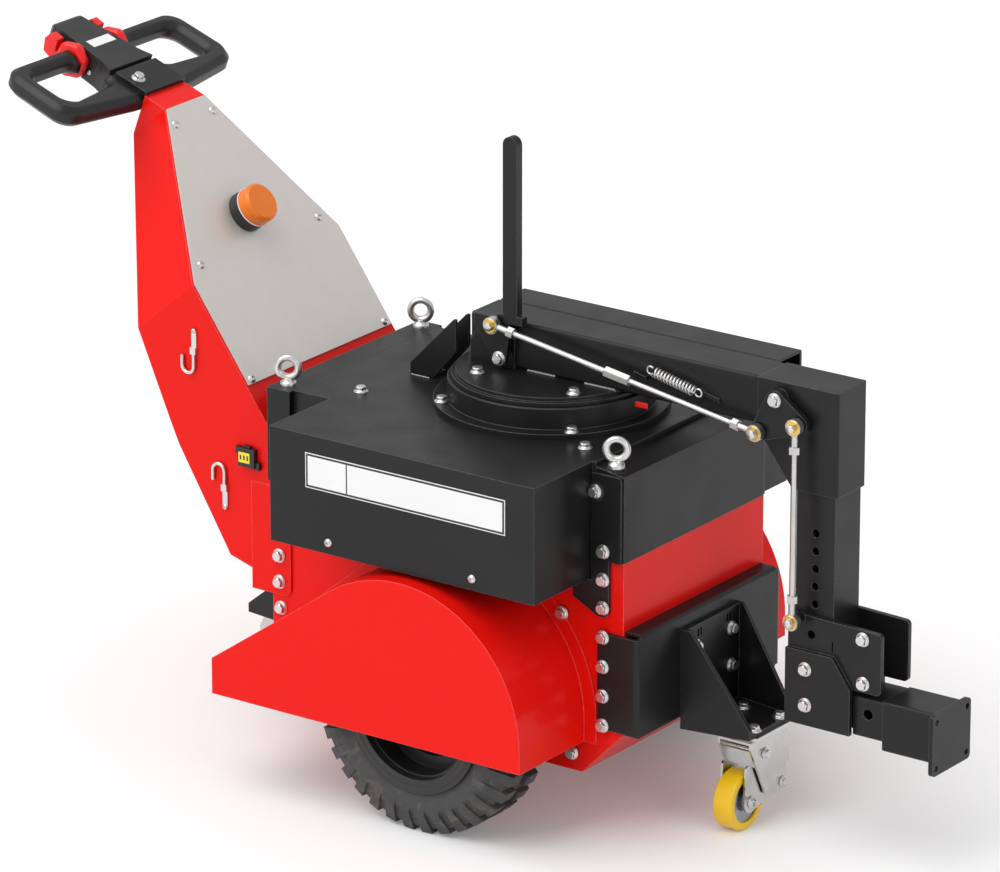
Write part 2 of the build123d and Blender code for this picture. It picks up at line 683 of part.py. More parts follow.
# Lifting eyes on the four corners of the top
with BuildPart() as lifting_eyes:
    for x, base in ((EYE_REAR, COVER_TOP), (EYE_FRONT, HOOD_REAR_TOP)):
        for y in (-EYE_Y, EYE_Y):
            with Locations((x, y, base)):
                Cylinder(EYE_COLLAR_R, EYE_COLLAR_T, align=(Align.CENTER, Align.CENTER, Align.MIN))
            ring_z = base + EYE_COLLAR_T + EYE_RING_R + EYE_WIRE_R - 3
            ring_plane = Plane(origin=(x, y, ring_z), x_dir=(cos(EYE_TURN), sin(EYE_TURN), 0),
                               z_dir=(-sin(EYE_TURN), cos(EYE_TURN), 0))
            with BuildSketch(Plane(origin=(x, y, ring_z), x_dir=ring_plane.x_dir, z_dir=ring_plane.y_dir)):
                with Locations((EYE_RING_R, 0)):
                    RegularPolygon(EYE_WIRE_R, 8)
            revolve(axis=Axis((x, y, ring_z), ring_plane.z_dir))
finish(lifting_eyes.part, "lifting_eyes")

# Turntable: fixed flange and ring, and a turning disc on a central pivot
turn_x = station(TURN_REACH)
ring_top = COVER_TOP + TURN_FLANGE_T + TURN_RING_T
disc_bottom = ring_top + SLIDE_GAP
boom_bottom = disc_bottom + TURN_DISC_T
with BuildPart() as turntable_base:
    with Locations((turn_x, 0, COVER_TOP)):
        Cylinder(TURN_FLANGE_R, TURN_FLANGE_T, align=(Align.CENTER, Align.CENTER, Align.MIN))
        Cylinder(TURN_RING_R, TURN_FLANGE_T + TURN_RING_T, align=(Align.CENTER, Align.CENTER, Align.MIN))
    chamfer(turntable_base.faces().filter_by(Axis.Z).group_by(Axis.Z)[-1].edges(), TURN_CHAMFER)
finish(turntable_base.part, "turntable_base")
with BuildPart() as turntable_disc:
    with Locations((turn_x, 0, disc_bottom)):
        Cylinder(TURN_DISC_R, TURN_DISC_T / 2, align=(Align.CENTER, Align.CENTER, Align.MIN))
        Cylinder(TURN_DISC_R - TURN_STEP, TURN_DISC_T, align=(Align.CENTER, Align.CENTER, Align.MIN))
finish(turntable_disc.part, "turntable_disc")

# Lock bracket behind the turntable: two leaning wings on a base
LOCK_T = 5.0
LOCK_Y = 18.0
LOCK_REACH = -251.0
LOCK_FOOT = 46.0
LOCK_HEIGHT = 110.0
LOCK_TIP = 93.0
LOCK_HEEL = 20.0
LOCK_NOSE = 56.0
lock_x = station(LOCK_REACH)
lock_tip_x = lock_x + LOCK_TIP
lock_profile = [
    (lock_x, COVER_TOP),
    (lock_x + LOCK_FOOT, COVER_TOP),
    (lock_tip_x, COVER_TOP + LOCK_NOSE),
    (lock_tip_x, COVER_TOP + LOCK_HEIGHT),
    (lock_tip_x - LOCK_T, COVER_TOP + LOCK_HEIGHT),
    (lock_x, COVER_TOP + LOCK_HEEL),
]
with BuildPart() as lock_bracket:
    for y in (-LOCK_Y, LOCK_Y):
        with BuildSketch(side_plane(y)):
            Polygon(*lock_profile, align=None)
        extrude(amount=LOCK_T / 2, both=True)
    with Locations((lock_x + LOCK_FOOT / 2, 0, COVER_TOP + LOCK_T / 2)):
        Box(LOCK_FOOT, 2 * LOCK_Y - LOCK_T, LOCK_T)
finish(lock_bracket.part, "lock_bracket")

# Boom: two rectangular tubes side by side
boom_top = boom_bottom + BOOM_HEIGHT
boom_rear = station(BOOM_REAR_REACH)
boom_front = station(BOOM_FRONT_REACH)


def box_tube(low, high, wall, axis):
    """A rectangular tube between two corners, open along the named axis."""
    size = [b - a for a, b in zip(low, high)]
    centre = [(a + b) / 2 for a, b in zip(low, high)]
    bore = [s + 2 if i == axis else s - 2 * wall for i, s in enumerate(size)]
    with BuildPart() as tube:
        with Locations(tuple(centre)):
            Box(*size)
        fillet(tube.edges().filter_by((Axis.X, Axis.Y, Axis.Z)[axis]), BOOM_ROUND)
        with Locations(tuple(centre)):
            Box(*bore, mode=Mode.SUBTRACT)
    return tube.part


finish(box_tube((boom_rear, -NEAR_TUBE_Y, boom_bottom), (boom_front, NEAR_TUBE_Y, boom_top), BOOM_WALL, 0),
       "boom_tube_near")
finish(box_tube((boom_rear, NEAR_TUBE_Y, boom_bottom), (station(FAR_FRONT_REACH), FAR_TUBE_Y, boom_top),
                BOOM_WALL, 0), "boom_tube_far")

# Elbow: a folded sleeve over the drop tube, with a slanting heel under the boom
sleeve_front = station(SLEEVE_FRONT_REACH)
sleeve_rear = station(SLEEVE_HEEL)
drop_front = sleeve_front - SLEEVE_WALL - SLIDE_GAP
drop_rear = sleeve_rear + SLEEVE_WALL + SLIDE_GAP
drop_y = SLEEVE_Y - SLEEVE_WALL - SLIDE_GAP
elbow_profile = [
    (boom_front, boom_top),
    (sleeve_front, boom_top),
    (sleeve_front, SLEEVE_BOTTOM),
    (sleeve_rear, SLEEVE_BOTTOM),
    (boom_front + 12, SLEEVE_BOTTOM + 74),
    (boom_front, boom_bottom),
]
with BuildPart() as boom_elbow:
    with BuildSketch(side_plane(0)):
        Polygon(*elbow_profile, align=None)
    extrude(amount=SLEEVE_Y, both=True)
    fillet(boom_elbow.edges().filter_by(Axis.Z).group_by(Axis.X)[-1], BOOM_ROUND)
    with Locations(((sleeve_front + sleeve_rear) / 2, 0, SLEEVE_BOTTOM - 1)):
        Box(sleeve_front - sleeve_rear - 2 * SLEEVE_WALL, 2 * (SLEEVE_Y - SLEEVE_WALL),
            boom_top - SLEEVE_BOTTOM - SLEEVE_WALL + 1, align=(Align.CENTER, Align.CENTER, Align.MIN),
            mode=Mode.SUBTRACT)
    for radius, end_y in ((ROD_END_R, LINK_Y - LINK_T - SEAT_GAP), (PIN_R, LINK_Y + PIN_END)):
        with BuildSketch(side_plane(-SLEEVE_Y)):
            with Locations((station(CRANK_REACH), CRANK_Z)):
                Circle(radius)
        extrude(amount=end_y - SLEEVE_Y)
finish(boom_elbow.part, "boom_elbow")

# Plate on the boom's side that carries the lever's pin
LEVER_PLATE_T = 4.0
LEVER_PLATE_H = 66.0
LEVER_PLATE_EDGE = 20.0
lever_x = station(LEVER_REACH)
lever_plate = [
    (boom_rear, boom_bottom),
    (lever_x + LEVER_PLATE_EDGE, boom_bottom),
    (lever_x + LEVER_PLATE_EDGE, boom_bottom + LEVER_PLATE_H),
    (boom_rear + LEVER_PLATE_EDGE, boom_bottom + LEVER_PLATE_H),
    (boom_rear, boom_bottom + LEVER_PLATE_H / 2),
]
with BuildPart() as lever_bracket:
    with BuildSketch(side_plane(-NEAR_TUBE_Y)):
        Polygon(*lever_plate, align=None)
    extrude(amount=LEVER_PLATE_T)
    for radius, end_y in ((ROD_END_R, LINK_Y - LINK_T - SEAT_GAP), (PIN_R, LINK_Y + PIN_END)):
        with BuildSketch(side_plane(-NEAR_TUBE_Y)):
            with Locations((lever_x, LEVER_Z)):
                Circle(radius)
        extrude(amount=end_y - NEAR_TUBE_Y)
finish(lever_bracket.part, "lever_bracket")



def rod_pin(place):
    """A pin for a rod's eye, with the spacer that holds the eye off the link's face."""
    with BuildPart() as pin:
        for radius, length in ((SPACER_R, ROD_GAP - SEAT_GAP), (PIN_R, ROD_GAP + ROD_END_T + PIN_END)):
            with BuildSketch(side_plane(-LINK_Y)):
                with Locations(place):
                    Circle(radius)
            extrude(amount=length)
    return pin.part


# Lift lever: a foot plate that turns on the pin, and a flat bar that stands on its collar
lever_eye = (lever_x + LEVER_ARM[0], LEVER_Z + LEVER_ARM[1])
bar_rear = lever_x + LEVER_BAR_START
bar_front = bar_rear + LEVER_BAR_WIDTH
bar_middle = (bar_rear + bar_front) / 2
lever_crown = LEVER_Z + LEVER_CROWN
lever_foot = [
    (lever_x + LEVER_FOOT_R, LEVER_Z),
    (lever_x + LEVER_PLATE_EDGE, LEVER_Z + LEVER_HEEL),
    (lever_x + LEVER_PLATE_EDGE, lever_crown),
    (lever_x - LEVER_BACK, lever_crown),
    (lever_x - LEVER_BACK, LEVER_Z + LEVER_HEEL),
    (lever_x - LEVER_FOOT_R, LEVER_Z),
]
with BuildPart() as lift_lever:
    with BuildSketch(side_plane(-LINK_Y + LINK_T)):
        Polygon(*lever_foot, align=None)
        with Locations((lever_x, LEVER_Z)):
            Circle(LEVER_FOOT_R)
            Circle(PIN_R + RUN_GAP, mode=Mode.SUBTRACT)
    extrude(amount=LINK_T)
    with BuildSketch(side_plane(-LINK_Y + LEVER_BAR_T)):
        Polygon((bar_rear, LEVER_Z + LEVER_BAR_FOOT), (bar_front, LEVER_Z + LEVER_BAR_FOOT),
                (bar_front, LEVER_TOP - LEVER_BAR_WIDTH / 2), (bar_rear, LEVER_TOP - LEVER_BAR_WIDTH / 2),
                align=None)
        with Locations((bar_middle, LEVER_TOP - LEVER_BAR_WIDTH / 2)):
            Circle(LEVER_BAR_WIDTH / 2)
        with Locations((bar_middle, LEVER_Z + LEVER_BAR_FOOT + LEVER_COLLAR_H / 2)):
            Rectangle(LEVER_BAR_WIDTH + 2 * LEVER_COLLAR, LEVER_COLLAR_H)
    extrude(amount=LEVER_BAR_T)
    add(rod_pin(lever_eye))
finish(lift_lever.part, "lift_lever")

# Bell crank on the elbow
crank_x = station(CRANK_REACH)
crank_drive = (crank_x + CRANK_DRIVE[0], CRANK_Z + CRANK_DRIVE[1])
crank_lift = (crank_x + CRANK_LIFT[0], CRANK_Z + CRANK_LIFT[1])
with BuildPart() as bell_crank:
    with BuildSketch(side_plane(-LINK_Y + LINK_T)) as crank_face:
        for x, z in ((crank_x, CRANK_Z), crank_drive, crank_lift):
            with Locations((x, z)):
                Circle(ROD_END_R + 2)
        make_hull()
        with Locations((crank_x, CRANK_Z)):
            Circle(PIN_R + RUN_GAP, mode=Mode.SUBTRACT)
    extrude(amount=LINK_T)
    add(rod_pin(crank_lift))
finish(bell_crank.part, "bell_crank")


def rod(start, end, label, sleeve_at=None):
    """A threaded rod between two eyes; it turns on a pin at its start and carries a bolt at its end."""
    way = Vector(end[0] - start[0], 0, end[1] - start[1])
    out = way.normalized()
    eye_y = -LINK_Y - ROD_GAP
    middle_y = eye_y - ROD_END_T / 2
    root = Vector(start[0], middle_y, start[1])
    tip = Vector(end[0], middle_y, end[1])
    with BuildPart() as link:
        for x, z in (start, end):
            with BuildSketch(side_plane(eye_y)):
                with Locations((x, z)):
                    Circle(ROD_END_R)
            extrude(amount=ROD_END_T)
        with BuildSketch(Plane(origin=root + out * ROD_END_R * 0.8, z_dir=out)):
            Circle(ROD_R)
        extrude(amount=way.length - 2 * ROD_END_R * 0.8)
        for place, inward in ((root, out), (tip, out * -1)):
            with BuildSketch(Plane(origin=place + inward * ROD_END_R * 0.9, z_dir=inward)):
                Circle(SHANK_R)
            extrude(amount=SHANK_LENGTH)
            with BuildSketch(Plane(origin=place + inward * (ROD_END_R * 0.9 + SHANK_LENGTH), z_dir=inward)):
                RegularPolygon(NUT_R, 6)
            extrude(amount=NUT_LENGTH)
        if sleeve_at is not None:
            with BuildSketch(Plane(origin=root + out * sleeve_at, z_dir=out)):
                RegularPolygon(NUT_R, 6)
            extrude(amount=SLEEVE_LENGTH)
        with BuildSketch(side_plane(eye_y - ROD_END_T)):
            with Locations(end):
                RegularPolygon(BOLT_HEAD_R, 6)
        extrude(amount=BOLT_HEAD_T)
        with BuildSketch(side_plane(eye_y)):
            with Locations(start):
                Circle(PIN_R + RUN_GAP)
        extrude(amount=ROD_END_T, mode=Mode.SUBTRACT)
    finish(link.part, label)


lift_eye = (crank_lift[0], ROD_LOW_Z)
rod(lever_eye, crank_drive, "pull_rod", sleeve_at=SLEEVE_AT)
rod(crank_lift, lift_eye, "lift_rod")

# Return spring between the pull rod and the boom
SPRING_R = 9.0
SPRING_WIRE = 1.5
SPRING_REAR = (252.0, 757.0)
SPRING_FRONT = (340.0, 738.0)
SPRING_AIR = 4.0
SPRING_EYE = 6.0
spring_y = -NEAR_TUBE_Y - SPRING_AIR - SPRING_R
spring_start = Vector(station(SPRING_REAR[0]), spring_y, SPRING_REAR[1])
spring_end = Vector(station(SPRING_FRONT[0]), spring_y, SPRING_FRONT[1])
with BuildPart() as spring:
    with BuildSketch(Plane(origin=spring_start, z_dir=spring_end - spring_start)):
        Circle(SPRING_R)
        Circle(SPRING_R - 2 * SPRING_WIRE, mode=Mode.SUBTRACT)
    extrude(amount=(spring_end - spring_start).length)
    with BuildSketch(side_plane(-NEAR_TUBE_Y)):
        with Locations((spring_end.X + SPRING_EYE, spring_end.Z)):
            Circle(SPRING_EYE)
    extrude(amount=2 * SPRING_AIR + SPRING_R)
finish(spring.part, "spring")

# Drop tube, drilled for height setting, sliding in the elbow's sleeve
with BuildPart() as drop_tube:
    with Locations(((drop_front + drop_rear) / 2, 0, (DROP_BOTTOM + DROP_TOP) / 2)):
        Box(drop_front - drop_rear, 2 * drop_y, DROP_TOP - DROP_BOTTOM)
        Box(drop_front - drop_rear - 2 * BOOM_WALL, 2 * (drop_y - BOOM_WALL), DROP_TOP - DROP_BOTTOM + 2,
            mode=Mode.SUBTRACT)
    with BuildSketch(side_plane(0)):
        for index in range(DROP_HOLES):
            with Locations(((drop_front + drop_rear) / 2, DROP_HOLE_LOW + index * DROP_HOLE_PITCH)):
                Circle(DROP_HOLE_R)
    extrude(amount=drop_y + 1, both=True, mode=Mode.SUBTRACT)
finish(drop_tube.part, "drop_tube")

# Hitch cheeks: an upper pair, and a lower pair bolted over them
HITCH_BACK = 8.0
cheek_rear = drop_rear - HITCH_BACK
coupling_back = COUPLING_FRONT - END_PLATE_T
coupling_rear = drop_front + COUPLING_INSET
coupling_step = coupling_rear + COUPLING_STEP_SHARE * (coupling_back - coupling_rear)
cheek_front = coupling_step - CHEEK_STEP_GAP
throat_x = drop_front + CHEEK_T
cheek_low = COUPLING_TOP + CHEEK_T
cheek_round = min(CHEEK_ROUND, (cheek_front - coupling_rear) / 2)
upper_cheek = [
    (cheek_rear, CHEEK_TOP),
    (drop_rear + 3 * HITCH_BACK, CHEEK_TOP - HITCH_BACK / 2),
    (cheek_front, CHEEK_TOP - HITCH_BACK),
    (cheek_front, cheek_low),
    (coupling_rear, cheek_low),
    (throat_x, CHEEK_SEAM - CHEEK_T),
    (cheek_rear, CHEEK_SEAM - CHEEK_T),
]
lower_cheek = [
    (cheek_rear, CHEEK_SEAM),
    (throat_x, CHEEK_SEAM),
    (coupling_rear, cheek_low),
    (coupling_rear, COUPLING_BOTTOM + 2 * HITCH_BACK),
    (cheek_rear, COUPLING_BOTTOM + 2 * HITCH_BACK),
]
with BuildPart() as hitch_cheeks:
    for side in (-1, 1):
        with BuildSketch(side_plane(side * (drop_y + CHEEK_T / 2))) as upper_face:
            Polygon(*upper_cheek, align=None)
            fillet(upper_face.vertices().group_by(Axis.X)[-1], cheek_round)
        extrude(amount=CHEEK_T / 2, both=True)
        with BuildSketch(side_plane(side * (drop_y + 3 * CHEEK_T / 2))):
            Polygon(*lower_cheek, align=None)
        extrude(amount=CHEEK_T / 2, both=True)
    with BuildSketch(side_plane(-drop_y - CHEEK_T)):
        with Locations(lift_eye):
            Circle(BOLT_HEAD_R)
    extrude(amount=LINK_Y + ROD_GAP - SEAT_GAP - drop_y - CHEEK_T)
finish(hitch_cheeks.part, "hitch_cheeks")

# Coupling tube, smaller where it enters the cheeks, and its drilled end plate
with BuildPart() as coupling_tube:
    add(box_tube((coupling_step, -COUPLING_Y, COUPLING_BOTTOM), (coupling_back, COUPLING_Y, COUPLING_TOP),
                 COUPLING_WALL, 0))
    add(box_tube((coupling_rear, 1 - COUPLING_Y, COUPLING_BOTTOM + COUPLING_STEP),
                 (coupling_step + CHEEK_T, COUPLING_Y - 1, COUPLING_TOP - 2), COUPLING_WALL, 0))
    add(box_tube((drop_front, -drop_y, COUPLING_BOTTOM + COUPLING_STEP + CHEEK_T),
                 (coupling_rear + 2 * CHEEK_T, drop_y, COUPLING_TOP - CHEEK_T), COUPLING_WALL, 0))
    with BuildSketch(side_plane(0)):
        with Locations(((coupling_rear + coupling_step) / 2, COUPLING_HOLE_Z)):
            Circle(COUPLING_HOLE_R)
    extrude(amount=COUPLING_Y, both=True, mode=Mode.SUBTRACT)
finish(coupling_tube.part, "coupling_tube")
end_mid_z = (END_PLATE_TOP + END_PLATE_BOTTOM) / 2
with BuildPart() as coupling_plate:
    with Locations((coupling_back + END_PLATE_T / 2, 0, end_mid_z)):
        Box(END_PLATE_T, 2 * END_PLATE_Y, END_PLATE_TOP - END_PLATE_BOTTOM)
    fillet(coupling_plate.edges().filter_by(Axis.X), 8)
    with BuildSketch(Plane(origin=(coupling_back, 0, end_mid_z), x_dir=(0, 1, 0), z_dir=(1, 0, 0))):
        with GridLocations(END_HOLE_Y, END_HOLE_Z, 2, 2):
            Circle(END_HOLE_R)
    extrude(amount=END_PLATE_T, mode=Mode.SUBTRACT)
finish(coupling_plate.part, "coupling_plate")

# Drive unit and battery, as plain masses inside the tub
DRIVE_LENGTH = 180.0
DRIVE_Y = 150.0
DRIVE_HEIGHT = 150.0
BATTERY_LENGTH = 190.0
BATTERY_Y = 165.0
BATTERY_HEIGHT = 260.0
BATTERY_GAP = 8.0
with BuildPart() as drive_unit:
    with Locations((AXLE_X, 0, TYRE_R)):
        Box(DRIVE_LENGTH, 2 * DRIVE_Y, DRIVE_HEIGHT)
finish(drive_unit.part, "drive_unit")
with BuildPart() as battery:
    with Locations((BODY_REAR + TUB_TAIL_RUN + BATTERY_GAP, 0, TUB_BOTTOM + WALL)):
        Box(BATTERY_LENGTH, 2 * BATTERY_Y, BATTERY_HEIGHT, align=(Align.MIN, Align.CENTER, Align.MIN))
finish(battery.part, "battery")

# Drive axle: flanged housings on the walls and the shafts that the wheels turn on
HOUSING_R = 34.0
HOUSING_FLANGE_R = 55.0
HOUSING_FLANGE_T = 12.0
HUB_SEAT = 10.0
wheel_inner = TYRE_OUTER_Y - TYRE_WIDTH
with BuildPart() as drive_axle:
    for side in (-1, 1):
        with BuildSketch(side_plane(side * WALL_Y)):
            with Locations((AXLE_X, TYRE_R)):
                Circle(HOUSING_FLANGE_R)
        extrude(amount=-side * HOUSING_FLANGE_T)
        with BuildSketch(side_plane(side * WALL_Y)):
            with Locations((AXLE_X, TYRE_R)):
                Circle(HOUSING_R)
        extrude(amount=-side * (wheel_inner + 2 * HUB_SEAT - WALL_Y))
        with BuildSketch(side_plane(side * DRIVE_Y)):
            with Locations((AXLE_X, TYRE_R)):
                Circle(AXLE_R)
        extrude(amount=-side * (wheel_inner + 2 * HUB_SEAT + HUB_LENGTH - DRIVE_Y))
finish(drive_axle.part, "drive_axle")

# Drive wheels: lugged tyre and a pressed rim with a dished web
WEB_SET = 22.0
WEB_STEP_R = 78.0
hub_inner = wheel_inner + 2 * HUB_SEAT + SEAT_GAP


def toothed_ring(tip, root, phase):
    """The outline of a wheel with one flat-topped tooth for each lug."""
    pitch = 2 * pi / LUG_COUNT
    tooth = pitch * LUG_SHARE / 2
    outline = []
    for index in range(LUG_COUNT):
        middle = (index + phase) * pitch
        for radius, turn in ((root, -tooth), (tip, -tooth), (tip, tooth), (root, tooth)):
            outline.append((radius * cos(middle + turn), radius * sin(middle + turn)))
    return outline


def lugged_tyre():
    """A tyre about Z at the origin, with block lugs on both shoulders, the two rows half a pitch apart."""
    half = TYRE_WIDTH / 2
    tread = TYRE_R - LUG_DEPTH
    lug_start = half - SHOULDER_RUN - LUG_LENGTH
    shoulder = half - SHOULDER_RUN
    side_r = TYRE_R - SHOULDER_DROP
    with BuildPart() as tyre:
        with BuildSketch(Plane.XY.offset(-shoulder)):
            RegularPolygon(tread, 2 * LUG_COUNT)
        extrude(amount=2 * shoulder)
        for way, phase in ((1, 0), (-1, 0.5)):
            with BuildSketch(Plane.XY.offset(way * lug_start)):
                Polygon(*toothed_ring(TYRE_R, tread - 1, phase), align=None)
            extrude(amount=way * LUG_LENGTH)
            with BuildSketch(Plane.XY.offset(way * shoulder)):
                Polygon(*toothed_ring(TYRE_R, tread - 1, phase), align=None)
            with BuildSketch(Plane.XY.offset(way * half)):
                Polygon(*toothed_ring(side_r, side_r - LUG_DEPTH, phase), align=None)
            loft(ruled=True)
        Cylinder(RIM_R, TYRE_WIDTH + 2, mode=Mode.SUBTRACT)
        for way in (1, -1):
            with Locations(Location((0, 0, way * (half - BEAD_SET / 2)), (90 - 90 * way, 0, 0))):
                Cone(RIM_R, DISH_R, BEAD_SET, mode=Mode.SUBTRACT)
    return tyre.part


def rim_profile():
    """Half section of the rim as (radius, distance out from its inner edge)."""
    barrel = RIM_R - RIM_WALL
    width = TYRE_WIDTH - 2 * BEAD_SET
    web = hub_inner - wheel_inner - BEAD_SET + WEB_SET
    hub_end = hub_inner - wheel_inner - BEAD_SET + HUB_LENGTH
    hub_start = hub_inner - wheel_inner - BEAD_SET
    bore = AXLE_R + RUN_GAP
    return [(bore, hub_start), (HUB_R, hub_start), (HUB_R, web), (WEB_STEP_R, web),
            (WEB_STEP_R + RIM_WEB, web + RIM_WEB), (barrel, web + RIM_WEB), (barrel, 0), (RIM_R, 0),
            (RIM_R, width), (barrel, width), (barrel, web + 2 * RIM_WEB), (WEB_STEP_R, web + 2 * RIM_WEB),
            (WEB_STEP_R - RIM_WEB, web + RIM_WEB), (HUB_R, web + RIM_WEB), (HUB_R, hub_end), (bore, hub_end)]


tyre_form = lugged_tyre()
for side, word in ((-1, "right"), (1, "left")):
    wheel_plane = Plane(origin=(AXLE_X, side * WHEEL_Y, TYRE_R), x_dir=(1, 0, 0), z_dir=(0, side, 0))
    finish(tyre_form.moved(Location(wheel_plane)), f"tyre_{word}")
    rim_start = side * (wheel_inner + BEAD_SET)
    with BuildPart() as rim:
        with BuildSketch(Plane(origin=(AXLE_X, rim_start, TYRE_R), x_dir=(1, 0, 0), z_dir=(0, 0, side))):
            Polygon(*rim_profile(), align=None)
        revolve(axis=Axis((AXLE_X, rim_start, TYRE_R), (0, side, 0)))
    finish(rim.part, f"rim_{word}")


# Sprung castors, each size along the trail or up from the floor
YOKE_SLOPE_LOW = 54.0
YOKE_SOLE = 48.0
YOKE_FRONT = 43.0
YOKE_FRONT_LOW = 144.0
YOKE_BACK = 70.0
YOKE_STEP = 9.0
YOKE_STEP_LOW = 92.0
YOKE_STEP_TOP = 136.0
YOKE_TOE = 3.0
ARM_PIVOT = (-51.0, 61.0)
ARM_TIP = (38.0, 108.0)
ARM_R = 19.0
ARM_PIVOT_R = 10.0
ARM_TIP_R = 6.0
YOKE_BOLT = (1.0, 127.0)
YOKE_PIN_R = 5.0
CASTOR_GAP = 3.0


def castor(reach, trail_x, trail_y, prefix):
    """Swivel castor: fixed plate, turning yoke with its swing arms, and wheel, trailing the given way."""
    x = station(reach)
    way = Vector(trail_x, trail_y, 0)
    across = Vector(trail_y, -trail_x, 0)
    plate_low = CASTOR_HEIGHT - CASTOR_PLATE_T
    crown = plate_low - CASTOR_HEAD_H
    arm_y = CASTOR_WIDTH / 2 + CASTOR_GAP
    yoke_y = arm_y + FORK_SHEET + CASTOR_GAP
    with BuildPart() as plate:
        with Locations((x, 0, plate_low)):
            Box(CASTOR_PLATE, CASTOR_PLATE, CASTOR_PLATE_T, align=(Align.CENTER, Align.CENTER, Align.MIN))
    finish(plate.part, f"{prefix}_castor_plate")
    fork_plane = Plane(origin=(x, 0, 0), x_dir=way, z_dir=across)
    yoke = [(YOKE_FRONT, crown), (YOKE_FRONT, YOKE_FRONT_LOW), (-YOKE_TOE, YOKE_SLOPE_LOW),
            (-YOKE_TOE - 2 * YOKE_STEP, YOKE_SOLE), (YOKE_STEP - YOKE_BACK, YOKE_SOLE),
            (YOKE_STEP - YOKE_BACK, YOKE_STEP_LOW), (-YOKE_BACK, YOKE_STEP_LOW), (-YOKE_BACK, YOKE_STEP_TOP),
            (YOKE_STEP - YOKE_BACK, crown)]
    with BuildPart() as fork:
        with Locations((x, 0, crown)):
            Cylinder(CASTOR_HEAD_R, CASTOR_HEAD_H - SEAT_GAP, align=(Align.CENTER, Align.CENTER, Align.MIN))
        for lean in (-1, 1):
            with BuildSketch(fork_plane.offset(lean * (yoke_y + FORK_SHEET / 2))):
                Polygon(*yoke, align=None)
            extrude(amount=FORK_SHEET / 2, both=True)
            with BuildSketch(fork_plane.offset(lean * (arm_y + FORK_SHEET / 2))):
                for place, radius in (((CASTOR_TRAIL, CASTOR_R), ARM_R), (ARM_PIVOT, ARM_PIVOT_R),
                                      (ARM_TIP, ARM_TIP_R)):
                    with Locations(place):
                        Circle(radius)
                make_hull()
            extrude(amount=FORK_SHEET / 2, both=True)
        with BuildSketch(fork_plane):
            with Locations(((YOKE_FRONT + YOKE_STEP - YOKE_BACK) / 2, crown - FORK_SHEET / 2)):
                Rectangle(YOKE_FRONT - YOKE_STEP + YOKE_BACK, FORK_SHEET)
        extrude(amount=yoke_y + FORK_SHEET, both=True)
        for place, radius in (((CASTOR_TRAIL, CASTOR_R), CASTOR_AXLE_R), (ARM_PIVOT, YOKE_PIN_R),
                              (YOKE_BOLT, YOKE_PIN_R)):
            with BuildSketch(fork_plane):
                with Locations(place):
                    Circle(radius)
            extrude(amount=yoke_y + FORK_SHEET + YOKE_PIN_R, both=True)
    finish(fork.part, f"{prefix}_castor_fork")
    axle_plane = Plane(origin=Vector(x, 0, CASTOR_R) + way * CASTOR_TRAIL, x_dir=way, z_dir=across)
    with BuildPart() as wheel:
        with BuildSketch(axle_plane):
            Circle(CASTOR_R)
        extrude(amount=CASTOR_WIDTH / 2, both=True)
        chamfer(wheel.edges(), CASTOR_GAP)
        with BuildSketch(axle_plane):
            Circle(CASTOR_R - CASTOR_TREAD)
        extrude(amount=CASTOR_WIDTH / 2, both=True, mode=Mode.SUBTRACT)
    finish(wheel.part, f"{prefix}_castor_tyre")
    with BuildPart() as hub:
        for radius, half in ((CASTOR_R - CASTOR_TREAD, CASTOR_WIDTH / 2 - CASTOR_GAP),
                             (CASTOR_HUB_R, arm_y - SEAT_GAP)):
            with BuildSketch(axle_plane):
                Circle(radius)
                Circle(CASTOR_AXLE_R + RUN_GAP, mode=Mode.SUBTRACT)
            extrude(amount=half, both=True)
    finish(hub.part, f"{prefix}_castor_hub")


castor(FRONT_CASTOR_REACH, 0, -1, "front")
castor(REAR_CASTOR_REACH, 1, 0, "rear")

# Storage hooks and the small charge meter on the mast's side
HOOK_R = 3.5
HOOK_LENGTH = 62.0
HOOK_BEND = 12.0
HOOK_TIP = 44.0
METER_LENGTH = 34.0
METER_HEIGHT = 32.0
METER_DEPTH = 10.0
METER_PLACE = (along_lean(0.1240), 510.0)
HOOK_HIGH = (along_lean(0.4232), 707.0)
HOOK_LOW = (along_lean(0.2588), 412.0)
hook_y = -MAST_Y - HOOK_R
with BuildPart() as storage_hooks:
    for (reach, z), turn in ((HOOK_HIGH, 1), (HOOK_LOW, -1)):
        with BuildLine(Plane(origin=(station(-reach), hook_y, z), x_dir=(1, 0, 0), z_dir=(0, -1, 0))) as path:
            Line((0, 0), (0, -turn * HOOK_LENGTH))
            ThreePointArc((0, -turn * HOOK_LENGTH), (-HOOK_BEND, -turn * (HOOK_LENGTH + HOOK_BEND)),
                          (-2 * HOOK_BEND, -turn * HOOK_LENGTH))
            Line((-2 * HOOK_BEND, -turn * HOOK_LENGTH), (-2 * HOOK_BEND, -turn * HOOK_TIP))
        with BuildSketch(Plane(origin=(station(-reach), hook_y, z), z_dir=(0, 0, -turn))):
            RegularPolygon(HOOK_R, 8)
        sweep(path=path.line)
finish(storage_hooks.part, "storage_hooks")
with BuildPart() as charge_meter:
    with Locations((station(-METER_PLACE[0]), -MAST_Y - METER_DEPTH / 2, METER_PLACE[1])):
        Box(METER_LENGTH, METER_DEPTH, METER_HEIGHT)
finish(charge_meter.part, "charge_meter")
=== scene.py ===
import json
from math import cos, pi, radians, sin

import bmesh
import bpy
from mathutils import Matrix, Vector


